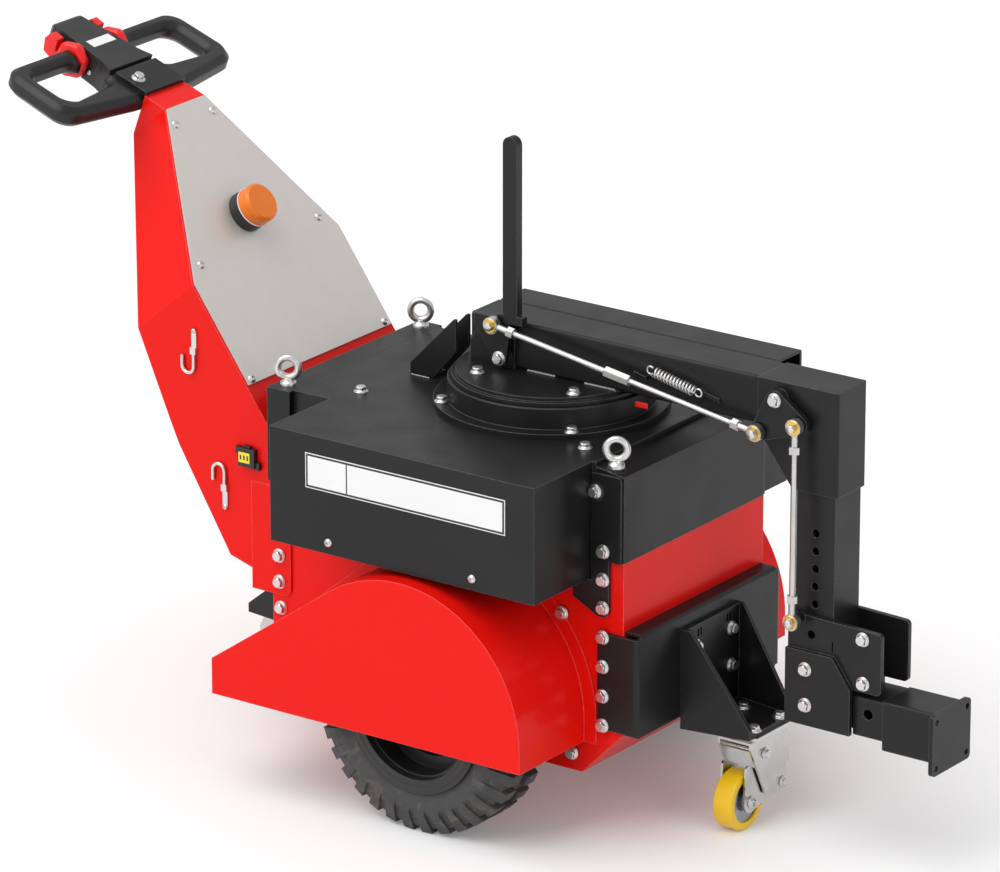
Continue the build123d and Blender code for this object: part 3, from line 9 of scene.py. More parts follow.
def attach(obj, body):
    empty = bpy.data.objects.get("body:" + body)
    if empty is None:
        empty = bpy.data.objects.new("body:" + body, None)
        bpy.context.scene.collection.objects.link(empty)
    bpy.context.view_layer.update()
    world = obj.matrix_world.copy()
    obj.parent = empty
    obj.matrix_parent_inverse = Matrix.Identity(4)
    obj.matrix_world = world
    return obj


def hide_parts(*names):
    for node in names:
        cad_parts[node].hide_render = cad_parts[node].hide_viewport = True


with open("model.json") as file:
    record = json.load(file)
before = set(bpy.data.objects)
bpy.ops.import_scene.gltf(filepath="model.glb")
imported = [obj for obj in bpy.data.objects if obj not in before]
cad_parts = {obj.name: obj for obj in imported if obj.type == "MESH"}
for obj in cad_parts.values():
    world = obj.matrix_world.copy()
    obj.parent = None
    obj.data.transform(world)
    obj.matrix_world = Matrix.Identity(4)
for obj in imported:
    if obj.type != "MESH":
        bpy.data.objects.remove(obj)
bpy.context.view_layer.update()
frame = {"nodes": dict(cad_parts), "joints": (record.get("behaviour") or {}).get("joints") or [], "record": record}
nodes = frame["nodes"]
joints = {joint["name"]: joint for joint in frame["joints"]}

# Places and sizes are in millimetres. Only the floor, lights and materials are given in metres, like the
# points that Blender gets. A reach is measured along the machine from the drive axle towards the coupling.
MM = 0.001
WHEEL_AXLE = joints["wheel_right_roll"]["pos_m"]
AXLE_X = WHEEL_AXLE[0]
WHEEL_AXLE_Z = WHEEL_AXLE[2] / MM
SIDES = (-1, 1)
TO_RIGHT, TO_TOP, TO_FRONT = (0, -1, 0), (0, 0, 1), (1, 0, 0)

# Camera: a long lens, as solved from the photograph's straight edges
CAMERA_REACH, CAMERA_Y, CAMERA_Z = 6327.5, -8963.0, 4428.0
CAMERA_AZIMUTH, CAMERA_ELEVATION = 35.578, 19.328
IMAGE_WIDTH = 1000
FOCAL_PIXELS = 7124.5
SENSOR = 36.0
CLIP_END = 200

WHITE = (1, 1, 1, 1)
# Floor: half its width, its colour, and how much it glows of itself
FLOOR_HALF, FLOOR_COLOUR, FLOOR_GLOW = 40, (0.80, 0.80, 0.80, 1), 0.12
# World: its strength at the horizon and overhead, and the rise of the sight line from which it is full
WORLD_HORIZON, WORLD_ZENITH, WORLD_FULL_FROM = 0.60, 0.74, 0.9
# Key sun: where it shines from, its strength, and its angular size in degrees
KEY_FROM, KEY_STRENGTH, KEY_SOFTNESS = (-0.26, -0.46, 0.84), 1.82, 60
# Soft lights: name, place, target, size, and power in watts
AREA_LIGHTS = (("front_strip", (3.4, -0.9, 1.7), (0.3, -0.1, 0.5), 0.9, 10),
               ("side_fill", (-1.2, -4.6, 1.3), (0.0, -0.2, 0.5), 2.4, 12))

# Thread sizes, and how far hexagon heads are turned, in radians
BOLT_M10, BOLT_M8, SCREW_M5, SCREW_SMALL = 10, 8, 5, 4.5
BOLT_TURN = 0.3
# Heads as shares of the thread: radii, heights, and a hexagon's distance from its middle to its flats
HEAD_FLAT, HEAD_HIGH = 0.80, 0.77
FLANGE_RIM, FLANGE_THICK, FLANGE_HIGH = 1.08, 0.08, 0.24
WASHER_RIM, WASHER_THICK = 1.22, 0.18
BUTTON_RIM, BUTTON_HIGH, SOCKET_FLAT, SOCKET_DEEP = 0.95, 0.62, 0.38, 0.35

# Faces of the CAD that pieces sit on, measured from the machine's middle or from the floor
POD_FACE = 362.5
TYRE_FACE = 362
MAST_SIDE, METER_SIDE = 201, 211
COVER_TOP = 644
DISC_TOP = 703.5
BOOM_SIDE, PIVOT_FACE, ROD_FACE = 40, 60, 76
BRACKET_FACE, BRACKET_SHELF = 341, 178
CHEEK_FACE, OUTER_CHEEK_FACE = 44.5, 52.5
# The turntable's bolts: the ring's middle and radius, and the height that they sit at
TURNTABLE_REACH, TURNTABLE_RING, TURNTABLE_TOP = 20, 182, 654

# The side plate: its start, length, foot and height, and its divider's reach and width
PLATE_START, PLATE_LONG, PLATE_FOOT, PLATE_HIGH = -210, 395, 553.5, 60
PLATE_DIVIDER, PLATE_LINE = -126, 2.2
# Its black border runs between these distances from the edge
BORDER_OUTER, BORDER_INNER = 1.8, 5.2
# The plate on the handle's head, and how thick one printed layer is
HEAD_PLATE_LONG, HEAD_PLATE_WIDE = 19.5, 59
LABEL_LAYER = 0.2

# Lifting eyes: radii of the ring and its bar, the ring's height over its base, and its turn in degrees
EYE_RING, EYE_BAR, EYE_RISE, EYE_TURN = 17.0, 6.1, 30, 30
# Return spring: radii of the coil and its wire, its turns, and the steps in each
COIL_RADIUS, COIL_WIRE, COIL_TURNS, COIL_STEPS = 8.0, 1.7, 13, 20
# The spring's hooks: their radius, and how far their middles stand off the coil
HOOK_RADIUS, HOOK_OFF = 6.4, 7.5
# Outer radius of the brass faces in the rods' eyes
ROD_EYE = 12.4
# The painted shade marks for bores and slots are this thick
MARK_DEEP = 0.3
# Distance from the middle to the flats of the thumb wheels' covers
THUMB_FLAT = 29.5
# The seam of the beacon: its middle on the panel and out from it, and its radius
BEACON_ALONG, BEACON_SEAM_OUT, BEACON_SEAM_RADIUS = 272, 22, 34.8


def at(reach, y, z):
    """A point in metres in the shared frame."""
    return Vector((AXLE_X + reach * MM, y * MM, z * MM))


# The handle's own plane rises to the rear from the top of the mast
HANDLE_SLOPE = radians(20.5)
MAST_TOP = at(-773, 0, 1036.5)
HANDLE_OUT = Vector((-cos(HANDLE_SLOPE), 0, sin(HANDLE_SLOPE)))
HANDLE_UP = Vector((sin(HANDLE_SLOPE), 0, cos(HANDLE_SLOPE)))

# The mast's steel panel leans back from its foot
PANEL_FOOT = at(-450, 0, 628)
PANEL_UP = (at(-731.2, 0, 1020.9) - PANEL_FOOT).normalized()
PANEL_OUT = Vector((PANEL_UP.z, 0, -PANEL_UP.x))
PANEL_FACE = 2.8


def on_handle(along, y, rise):
    """A point in metres from the handle's own places."""
    return MAST_TOP + (HANDLE_OUT * along + Vector((0, y, 0)) + HANDLE_UP * rise) * MM


def on_panel(along, y, out=0.0):
    """A point in metres on the steel panel or out from its face."""
    return PANEL_FOOT + (PANEL_UP * along + Vector((0, y, 0)) + PANEL_OUT * (PANEL_FACE + out)) * MM


def both_sides(points):
    """The same bolts on the right and on the left side, each as (place, normal)."""
    return [(at(x, side * y, z), (0, side, 0)) for x, y, z in points for side in SIDES]


def round_angles(steps):
    """Angles of equal steps around a circle."""
    return [2 * pi * step / steps for step in range(steps)]


# Camera, lights and stage

def add_camera():
    """The photograph's camera."""
    azimuth, elevation = radians(CAMERA_AZIMUTH), radians(CAMERA_ELEVATION)
    right = Vector((cos(azimuth), sin(azimuth), 0))
    back = Vector((sin(azimuth) * cos(elevation), -cos(azimuth) * cos(elevation), sin(elevation)))
    up = back.cross(right)
    data = bpy.data.cameras.new("camera")
    data.sensor_width = SENSOR
    data.lens = FOCAL_PIXELS / IMAGE_WIDTH * SENSOR
    data.clip_end = CLIP_END
    data.dof.use_dof = False
    camera = bpy.data.objects.new("camera", data)
    camera.matrix_world = Matrix((right, up, back)).transposed().to_4x4()
    camera.location = at(CAMERA_REACH, CAMERA_Y, CAMERA_Z)
    bpy.context.scene.collection.objects.link(camera)
    bpy.context.scene.camera = camera


def add_world():
    """A studio whose light is strongest overhead and fades towards the horizon."""
    world = bpy.data.worlds.new("studio")
    world.use_nodes = True
    tree = world.node_tree
    background = tree.nodes["Background"]
    background.inputs["Color"].default_value = WHITE
    way = tree.nodes.new("ShaderNodeTexCoord")
    split = tree.nodes.new("ShaderNodeSeparateXYZ")
    fade = tree.nodes.new("ShaderNodeMapRange")
    fade.inputs["From Min"].default_value = 0.0
    fade.inputs["From Max"].default_value = WORLD_FULL_FROM
    fade.inputs["To Min"].default_value = WORLD_HORIZON
    fade.inputs["To Max"].default_value = WORLD_ZENITH
    tree.links.new(way.outputs["Generated"], split.inputs["Vector"])
    tree.links.new(split.outputs["Z"], fade.inputs["Value"])
    tree.links.new(fade.outputs["Result"], background.inputs["Strength"])
    bpy.context.scene.world = world
    bpy.context.scene.view_settings.view_transform = "Standard"


def add_sun(name, towards, strength, softness):
    """A wide, soft sun that shines from the given direction."""
    data = bpy.data.lights.new(name, "SUN")
    data.energy = strength
    data.angle = radians(softness)
    sun = bpy.data.objects.new(name, data)
    sun.rotation_euler = Vector(towards).to_track_quat("Z", "Y").to_euler()
    bpy.context.scene.collection.objects.link(sun)


def add_light(name, place, target, size, power):
    """A square soft light that faces its target."""
    data = bpy.data.lights.new(name, "AREA")
    data.size = size
    data.energy = power
    light = bpy.data.objects.new(name, data)
    light.location = place
    light.rotation_euler = (Vector(target) - Vector(place)).to_track_quat("-Z", "Y").to_euler()
    bpy.context.scene.collection.objects.link(light)


def add_floor():
    """A white floor that fills the picture, a little bright of itself wherever it is seen or mirrored."""
    bm = bmesh.new()
    corners = ((-1, -1), (1, -1), (1, 1), (-1, 1))
    bm.faces.new([bm.verts.new((x * FLOOR_HALF, y * FLOOR_HALF, 0)) for x, y in corners])
    mesh = mesh_from(bm, "floor")
    material = bpy.data.materials.new("studio_floor")
    material.use_nodes = True
    tree = material.node_tree
    tree.nodes.clear()
    output = tree.nodes.new("ShaderNodeOutputMaterial")
    matt = tree.nodes.new("ShaderNodeBsdfDiffuse")
    matt.inputs["Color"].default_value = FLOOR_COLOUR
    glow = tree.nodes.new("ShaderNodeEmission")
    glow.inputs["Color"].default_value = WHITE
    seen = tree.nodes.new("ShaderNodeLightPath")
    share = seen.outputs["Is Camera Ray"]
    for ray in ("Is Glossy Ray", "Is Transmission Ray"):
        larger = tree.nodes.new("ShaderNodeMath")
        larger.operation = "MAXIMUM"
        tree.links.new(share, larger.inputs[0])
        tree.links.new(seen.outputs[ray], larger.inputs[1])
        share = larger.outputs["Value"]
    strength = tree.nodes.new("ShaderNodeMath")
    strength.operation = "MULTIPLY"
    strength.inputs[1].default_value = FLOOR_GLOW
    both = tree.nodes.new("ShaderNodeAddShader")
    tree.links.new(share, strength.inputs[0])
    tree.links.new(strength.outputs["Value"], glow.inputs["Strength"])
    tree.links.new(matt.outputs["BSDF"], both.inputs[0])
    tree.links.new(glow.outputs["Emission"], both.inputs[1])
    tree.links.new(both.outputs["Shader"], output.inputs["Surface"])
    mesh.materials.append(material)
    floor = bpy.data.objects.new("floor", mesh)
    bpy.context.scene.collection.objects.link(floor)


# Materials; scales are per metre, and depths and edges are in metres

class Shader:
    """Builds one node material step by step."""

    def __init__(self, name):
        self.material = bpy.data.materials.new(name)
        self.material.use_nodes = True
        self.tree = self.material.node_tree
        self.main = self.tree.nodes["Principled BSDF"]
        self.place = self.node("ShaderNodeTexCoord").outputs["Object"]

    def node(self, kind, **settings):
        """A new node with its settings."""
        made = self.tree.nodes.new(kind)
        for key, value in settings.items():
            setattr(made, key, value)
        return made

    def link(self, out, socket):
        """Joins an output to an input."""
        self.tree.links.new(out, socket)

    def feed(self, value, socket):
        """Gives a socket a link, a colour or a number."""
        if isinstance(value, bpy.types.NodeSocket):
            self.link(value, socket)
        elif hasattr(value, "__len__"):
            socket.default_value = (*value, 1)
        else:
            socket.default_value = value

    def noise(self, scale, detail=3.0, stretch=(1, 1, 1), distortion=0.0):
        """Noise that is fixed to the piece."""
        mapping = self.node("ShaderNodeMapping")
        mapping.inputs["Scale"].default_value = stretch
        self.link(self.place, mapping.inputs["Vector"])
        noise = self.node("ShaderNodeTexNoise")
        noise.inputs["Scale"].default_value = scale
        noise.inputs["Detail"].default_value = detail
        noise.inputs["Distortion"].default_value = distortion
        self.link(mapping.outputs["Vector"], noise.inputs["Vector"])
        return noise.outputs["Fac"]

    def remap(self, value, low, high, start=0.3, end=0.7):
        """Spreads the values from start to end over low to high."""
        remap = self.node("ShaderNodeMapRange")
        remap.inputs["From Min"].default_value = start
        remap.inputs["From Max"].default_value = end
        remap.inputs["To Min"].default_value = low
        remap.inputs["To Max"].default_value = high
        self.link(value, remap.inputs["Value"])
        return remap.outputs["Result"]

    def mix(self, factor, first, second):
        """A colour between two; the node's sockets 6 and 7 are its colours A and B."""
        mix = self.node("ShaderNodeMix", data_type="RGBA")
        self.feed(factor, mix.inputs["Factor"])
        self.feed(first, mix.inputs[6])
        self.feed(second, mix.inputs[7])
        return mix.outputs[2]

    def times(self, first, second):
        """The product of two outputs."""
        product = self.node("ShaderNodeMath", operation="MULTIPLY")
        self.link(first, product.inputs[0])
        self.link(second, product.inputs[1])
        return product.outputs["Value"]

    def colour(self, value):
        """Links the surface's colour."""
        self.feed(value, self.main.inputs["Base Color"])

    def patchy_colour(self, patches, colour, darker, brighter):
        """A colour that varies between two shares of itself."""
        return self.mix(patches, shade(colour, 1 - darker), shade(colour, 1 + brighter))

    def roughness(self, noise, low, high):
        """Roughness that varies between two numbers."""
        self.link(self.remap(noise, low, high), self.main.inputs["Roughness"])

    def settle(self, **settings):
        """Sets numbers on the main shader; an underscore stands for a space."""
        for socket, value in settings.items():
            self.main.inputs[socket.replace("_", " ")].default_value = value

    def rounded(self, edge):
        """Normals that look rounded over edges by the given radius."""
        bevel = self.node("ShaderNodeBevel", samples=6)
        bevel.inputs["Radius"].default_value = edge
        return bevel.outputs["Normal"]

    def edge_mask(self, normals):
        """One along edges and nought on flat faces, from how far rounded and flat normals part."""
        flat = self.node("ShaderNodeNewGeometry").outputs["Normal"]
        dot = self.node("ShaderNodeVectorMath", operation="DOT_PRODUCT")
        self.link(normals, dot.inputs[0])
        self.link(flat, dot.inputs[1])
        return self.remap(dot.outputs["Value"], 1, 0, start=0.80, end=0.985)

    def relief(self, height, strength, distance, normals):
        """Bump from a height, over the given normals."""
        bump = self.node("ShaderNodeBump")
        bump.inputs["Strength"].default_value = strength
        bump.inputs["Distance"].default_value = distance
        self.link(height, bump.inputs["Height"])
        self.link(normals, bump.inputs["Normal"])
        self.link(bump.outputs["Normal"], self.main.inputs["Normal"])


def shade(colour, factor):
    """A colour made darker or brighter."""
    return tuple(channel * factor for channel in colour)


def painted(name, colour, roughness, coat=0.0, grain=700.0, depth=0.00004, spread=0.10, edge_wear_and_highlight=None,
            specular=0.5, uneven=0.05, edge=0.0016):
    """Paint or powder coat: slight unevenness in tone and gloss, fine orange peel, and paler, grainy edges that
    are partly edge wear and partly a painted highlight.
    """
    shader = Shader(name)
    normals = shader.rounded(edge)
    tone = shader.patchy_colour(shader.remap(shader.noise(5.0, detail=4.0), 0, 1), colour, spread, spread)
    # The paler colour along rounded edges is partly real edge wear and partly a painted highlight.
    if edge_wear_and_highlight:
        grainy = shader.remap(shader.noise(420.0, detail=2.0), 0.25, 1.0, start=0.35, end=0.65)
        tone = shader.mix(shader.times(shader.edge_mask(normals), grainy), tone, edge_wear_and_highlight)
    shader.colour(tone)
    shader.roughness(shader.noise(14.0), roughness - uneven, roughness + uneven)
    shader.settle(Specular_IOR_Level=specular, Coat_Weight=coat, Coat_Roughness=0.12)
    shader.relief(shader.noise(grain, detail=2.0), 0.35, depth, normals)
    return shader.material


def metal(name, colour, roughness, stretch=(1, 1, 1), grain=300.0, depth=0.00002, metallic=1.0,
          clouding=0.10):
    """Bare or plated metal: fine scratches along one way and a little clouding."""
    shader = Shader(name)
    shader.settle(Metallic=metallic)
    clouds = shader.remap(shader.noise(30.0, detail=5.0), 0, 1)
    shader.colour(shader.patchy_colour(clouds, colour, clouding, clouding / 2))
    shader.roughness(shader.noise(grain, stretch=stretch), roughness * 0.75, roughness * 1.3)
    shader.relief(shader.noise(grain, detail=3.0, stretch=stretch), 0.4, depth, shader.rounded(0.0006))
    return shader.material


def plastic(name, colour, roughness, grain=900.0, depth=0.00008, transmission=0.0, edge=0.001, spread=0.15,
            specular=0.5):
    """Moulded plastic with a fine leather-like grain."""
    shader = Shader(name)
    shader.colour(shader.patchy_colour(shader.remap(shader.noise(8.0), 0, 1), colour, spread, spread))
    shader.roughness(shader.noise(20.0), roughness - 0.06, roughness + 0.06)
    shader.settle(Specular_IOR_Level=specular, Transmission_Weight=transmission)
    shader.relief(shader.noise(grain, detail=2.0), 0.3, depth, shader.rounded(edge))
    return shader.material


def dusty_rubber(name, colour, roughness, dust):
    """Tyre rubber with sandy dust that clings in patches."""
    shader = Shader(name)
    patches = shader.remap(shader.noise(38.0, detail=10.0, distortion=0.8), 0, 0.5, start=0.54, end=0.76)
    shader.colour(shader.mix(patches, colour, dust))
    shader.roughness(shader.noise(40.0), roughness - 0.125, roughness + 0.125)
    shader.relief(shader.noise(350.0, detail=6.0), 0.5, 0.0002, shader.rounded(0.0015))
    return shader.material


RED = (0.80, 0.007, 0.004)
BLACK = (0.009, 0.009, 0.0095)
# Each finish: the kind of surface, its colour, its roughness, and what differs from that kind's defaults
# The paler edge colours given to the red paint, black coat and rim paint are partly edge wear and partly a painted
# highlight.
FINISH_TABLE = {
    "red_paint": (painted, RED, 0.32,
                  dict(coat=0.14, grain=500, depth=0.00002, spread=0.008, edge_wear_and_highlight=(0.95, 0.26, 0.22),
                       specular=0.10, uneven=0.01, edge=0.0022)),
    "black_coat": (painted, BLACK, 0.37,
                   dict(grain=1400, depth=0.00009, spread=0.18, edge_wear_and_highlight=(0.17, 0.17, 0.17), specular=0.30,
                        edge=0.0022)),
    "brushed_panel": (metal, (0.74, 0.705, 0.675), 0.46,
                      dict(stretch=(0.05, 1, 0.05), grain=900, metallic=0.6, clouding=0.02)),
    "zinc": (metal, (0.70, 0.69, 0.68), 0.34, dict(depth=0.000006, clouding=0.05)),
    "black_plastic": (plastic, (0.014, 0.014, 0.015), 0.40, dict(edge=0.002)),
    "grip_rubber": (plastic, (0.011, 0.011, 0.012), 0.36, dict(edge=0.009, spread=0.05, specular=0.42)),
    "red_plastic": (plastic, (0.84, 0.008, 0.008), 0.22,
                    dict(grain=300, depth=0.00002, edge=0.003, spread=0.03)),
    "amber_lens": (plastic, (0.90, 0.20, 0.008), 0.24,
                   dict(grain=260, depth=0.0004, transmission=0.1, spread=0.05)),
    "cast_housing": (painted, (0.05, 0.05, 0.052), 0.6, dict(grain=250, depth=0.0004)),
    "battery_case": (plastic, (0.03, 0.03, 0.03), 0.5, {}),
    "tyre_rubber": (dusty_rubber, (0.045, 0.045, 0.045), 0.625, dict(dust=(0.19, 0.155, 0.12))),
    "rim_paint": (painted, (0.014, 0.014, 0.014), 0.34, dict(edge_wear_and_highlight=(0.06, 0.06, 0.06))),
    "castor_steel": (metal, (0.64, 0.64, 0.63), 0.20, {}),
    "castor_hub": (metal, (0.38, 0.39, 0.42), 0.3, {}),
    "yellow_tread": (plastic, (0.93, 0.58, 0.01), 0.3, dict(grain=200, depth=0.00005)),
    "black_tread": (plastic, (0.02, 0.02, 0.02), 0.5, dict(grain=200)),
    "rod_steel": (metal, (0.60, 0.59, 0.58), 0.34, dict(grain=800, depth=0.0002)),
    "brass": (metal, (0.83, 0.52, 0.12), 0.24, {}),
    "white_label": (plastic, (0.83, 0.83, 0.83), 0.4,
                    dict(grain=60, depth=0.00002, spread=0.01, specular=0.2)),
    "black_label": (plastic, (0.02, 0.02, 0.02), 0.35, dict(grain=60, depth=0.00002)),
    "charge_yellow": (plastic, (0.80, 0.68, 0.02), 0.3, {}),
    "weld_bead": (metal, (0.30, 0.30, 0.31), 0.5, dict(grain=400, depth=0.0003)),
    # Near-black, for the painted shade where bores and slots are dark inside.
    "dark_hole": (plastic, (0.002, 0.002, 0.002), 0.9, dict(specular=0.0)),
}
FINISHES = {name: surface(name, colour, roughness, **settings)
            for name, (surface, colour, roughness, settings) in FINISH_TABLE.items()}


def dress_frame():
    """Gives each carried-over piece the finish that its record names, and the handle's loops a soft one."""
    for part in frame["record"]["subparts"]:
        finish = "grip_rubber" if part["node"] == "handle_frame" else part["material_slot"]
        mesh = nodes[part["node"]].data
        mesh.materials.clear()
        mesh.materials.append(FINISHES[finish])


# Mesh tools; rings, radii and sizes are in millimetres

def mesh_from(bm, name, smooth_degrees=35):
    """Turns the working mesh into one whose soft edges are smooth."""
    bmesh.ops.recalc_face_normals(bm, faces=bm.faces)
    for edge in bm.edges:
        edge.smooth = len(edge.link_faces) == 2 and edge.calc_face_angle(0) < radians(smooth_degrees)
    for face in bm.faces:
        face.smooth = True
    mesh = bpy.data.meshes.new(name)
    bm.to_mesh(mesh)
    bm.free()
    return mesh


def add_piece(name, bm, finish, body, smooth_degrees=35):
    """A new visible piece that moves with a body."""
    mesh = mesh_from(bm, name, smooth_degrees)
    mesh.materials.append(FINISHES[finish])
    piece = bpy.data.objects.new(name, mesh)
    bpy.context.scene.collection.objects.link(piece)
    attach(piece, body)
    return piece


def turning_frame(place, normal, turn=0.0):
    """A matrix that puts +Z along the normal at a place."""
    rotation = Vector(normal).to_track_quat("Z", "Y").to_matrix().to_4x4()
    return Matrix.Translation(place) @ rotation @ Matrix.Rotation(turn, 4, "Z")


def skin(bm, first, second):
    """Joins two loops of as many corners by a band of faces."""
    for index in range(len(first)):
        after = (index + 1) % len(first)
        bm.faces.new((first[index], first[after], second[after], second[index]))


def add_caps(bm, loops):
    """Closes the two ends of a stack of loops."""
    bm.faces.new(tuple(reversed(loops[0])))
    bm.faces.new(tuple(loops[-1]))


def add_rings(bm, matrix, rings, steps=36, caps=True):
    """Skins a stack of rings, each a function of the angle that gives radius and height."""
    loops = []
    for ring in rings:
        loop = []
        for angle in round_angles(steps):
            radius, height = ring(angle)
            corner = Vector((radius * cos(angle), radius * sin(angle), height)) * MM
            loop.append(bm.verts.new(matrix @ corner))
        loops.append(loop)
    for lower, upper in zip(loops, loops[1:]):
        skin(bm, lower, upper)
    if caps:
        add_caps(bm, loops)


def circle(radius, height):
    """A round ring."""
    return lambda angle: (radius, height)


def circles(profile):
    """Round rings from pairs of radius and height."""
    return [circle(radius, height) for radius, height in profile]


def hexagon_radius(flat, angle):
    """How far a hexagon's outline is from its middle at an angle; its flats are at the given distance."""
    return flat / cos((angle % (pi / 3)) - pi / 6)


def hexagon(flat, height, bevel=0.0):
    """A ring of a hexagon's outline, with its corners pulled down as by a turned chamfer."""
    def ring(angle):
        radius = hexagon_radius(flat, angle)
        return radius, height - bevel * (radius / flat - 1)
    return ring


def soft_hexagon(flat, height):
    """A ring of a hexagon's outline whose corners are cut round."""
    return lambda angle: (min(hexagon_radius(flat, angle), flat * 1.09), height)


def add_bolt(bm, place, normal, size):
    """A flanged hexagon head on a washer, for a thread of the given size."""
    matrix = turning_frame(place, normal, BOLT_TURN)
    rim, thick, flat = WASHER_RIM * size, WASHER_THICK * size, HEAD_FLAT * size
    flange = FLANGE_RIM * size
    top = thick + HEAD_HIGH * size
    add_rings(bm, matrix, circles(((rim, 0), (rim, thick * 0.7), (rim * 0.96, thick))))
    add_rings(bm, matrix, circles(((flange, thick), (flange, thick + FLANGE_THICK * size),
                                   (flat * 1.02, thick + FLANGE_HIGH * size))))
    add_rings(bm, matrix, [hexagon(flat, thick + 0.1 * size), hexagon(flat, top - flat * 0.1, flat * 0.5),
                           circle(flat * 0.95, top)])


def add_button(bm, place, normal, size):
    """A domed socket screw."""
    dome = [circle(BUTTON_RIM * size * cos(radians(a)), BUTTON_HIGH * size * sin(radians(a)))
            for a in (0, 15, 30, 45, 60)]
    flat, high = SOCKET_FLAT * size, BUTTON_HIGH * size * sin(radians(66))
    add_rings(bm, turning_frame(place, normal),
              dome + [hexagon(flat, high), hexagon(flat, high - SOCKET_DEEP * size)])


def add_bolts(name, body, places, size, kind=add_bolt):
    """One piece that holds a group of like bolts; each place is (point, normal)."""
    bm = bmesh.new()
    for place, normal in places:
        kind(bm, place, normal, size)
    add_piece(name, bm, "zinc", body)


def add_tube(bm, points, radius, steps=14, closed=False):
    """Skins a round rod along points; the radius is a number or a function of the point's number."""
    count = len(points)
    loops = []
    side = None
    for index, point in enumerate(points):
        before = points[index - 1] if closed or index else point
        after = points[(index + 1) % count] if closed or index < count - 1 else point
        way = (after - before).normalized()
        side = way.orthogonal() if side is None else side
        side = (side - way * side.dot(way)).normalized()
        other = way.cross(side)
        size = (radius(index) if callable(radius) else radius) * MM
        loops.append([bm.verts.new(point + (side * cos(a) + other * sin(a)) * size)
                      for a in round_angles(steps)])
    for first, second in zip(loops, loops[1:] + loops[:1] if closed else loops[1:]):
        skin(bm, first, second)
    if not closed:
        add_caps(bm, loops)


def add_slab(bm, corner, along, across, up):
    """A six-sided block from a corner and its three edges, all in metres."""
    low = [corner, corner + along, corner + along + across, corner + across]
    loops = [[bm.verts.new(point + rise) for point in low] for rise in (Vector((0, 0, 0)), up)]
    skin(bm, *loops)
    add_caps(bm, loops)


def add_block(bm, corner, x, y, z):
    """A slab along the axes; a size below nought runs backwards from the corner."""
    add_slab(bm, corner, Vector((x, 0, 0)) * MM, Vector((0, y, 0)) * MM, Vector((0, 0, z)) * MM)


def add_bead(bm, start, end, radius, ripple=4.5):
    """A weld bead: a low round seam whose ripples follow one another."""
    count = max(6, int((end - start).length / (ripple * MM) * 4))
    points = [start.lerp(end, index / count) for index in range(count + 1)]
    add_tube(bm, points, lambda index: radius * (0.68 + 0.32 * abs(sin(pi * index / 4))), steps=8)


# Pieces

def add_body_bolts():
    """Flanged bolts on the walls, corner plates, bumper, covers and brackets."""
    rear_plate = [(-385, 205, 351), (-385, 205, 305), (-385, 201, 258)]
    front_plate = [(266, 207, z) for z in (498, 450, 402, 352, 301.5, 251, 200.5)]
    hood_and_guard = [(250, 207, 597), (184, 204, 375), (205, 204, 139)]
    add_bolts("wall_bolts", "root", both_sides(rear_plate + front_plate + hood_and_guard), BOLT_M10)
    covers = [(at(x, y, COVER_TOP), TO_TOP)
              for x, y in ((-262, -142), (-262, 142), (194.5, -156), (194.5, 156))]
    covers += [(at(TURNTABLE_REACH + TURNTABLE_RING * cos(a), TURNTABLE_RING * sin(a), TURNTABLE_TOP), TO_TOP)
               for a in (radians(45 + 90 * quarter) for quarter in range(4))]
    add_bolts("cover_bolts", "root", covers, BOLT_M10)
    brackets = [(at(BRACKET_FACE, y, z), TO_FRONT) for y in (-51, 51) for z in (305, 241)]
    brackets += [(at(x, y, BRACKET_SHELF), TO_TOP) for x in (376, 446) for y in (-37, 37)]
    add_bolts("bracket_bolts", "root", brackets, BOLT_M10)
    pods = both_sides([(x, POD_FACE, 467) for x in (-165, 120)])
    add_bolts("pod_screws", "root", pods, BOLT_M8, add_button)
    panel = [(on_panel(along, side * y), PANEL_OUT) for along, y in ((12, 184), (219, 161), (453, 50))
             for side in SIDES]
    add_bolts("panel_screws", "root", panel, BOLT_M8, add_button)
    add_bolts("neck_bolt", "root", [(on_handle(36, -31, 8), HANDLE_UP)], BOLT_M10)
    head = [(on_handle(122, side * 46.6, -26), (0, side, 0)) for side in SIDES]
    add_bolts("head_screws", "root", head, SCREW_SMALL, add_button)


def add_boom_bolts():
    """Bolts on the parts that turn with the boom or slide in it."""
    disc = [(at(x, y, DISC_TOP), TO_TOP) for x, y in ((-62, -94), (126, -90))]
    add_bolts("disc_bolts", "boom", disc, BOLT_M10)
    pivots = [(at(x, -PIVOT_FACE, z), TO_RIGHT) for x, z in ((-43, 722), (492, 757))]
    add_bolts("pivot_bolts", "boom", pivots, BOLT_M10)
    hitch = [(655, CHEEK_FACE, 384), (657, CHEEK_FACE, 309),
             (552, OUTER_CHEEK_FACE, 313), (553, OUTER_CHEEK_FACE, 252)]
    add_bolts("hitch_bolts", "hitch", both_sides(hitch), BOLT_M10)


def add_label(name, corner, along, across, out, fields):
    """A printed plate as flat layers; each field is (finish, inset, start share, end share, layer)."""
    for number, (finish, inset, start, end, layer) in enumerate(fields):
        bm = bmesh.new()
        edge_a, edge_b = along.normalized() * inset * MM, across.normalized() * inset * MM
        low = corner + along * start + edge_a * int(start == 0)
        span = along * (end - start) - edge_a * ((start == 0) + (end == 1))
        add_slab(bm, low + edge_b, span, across - 2 * edge_b, out * LABEL_LAYER * layer * MM)
        add_piece(f"{name}_{number}", bm, finish, "root")


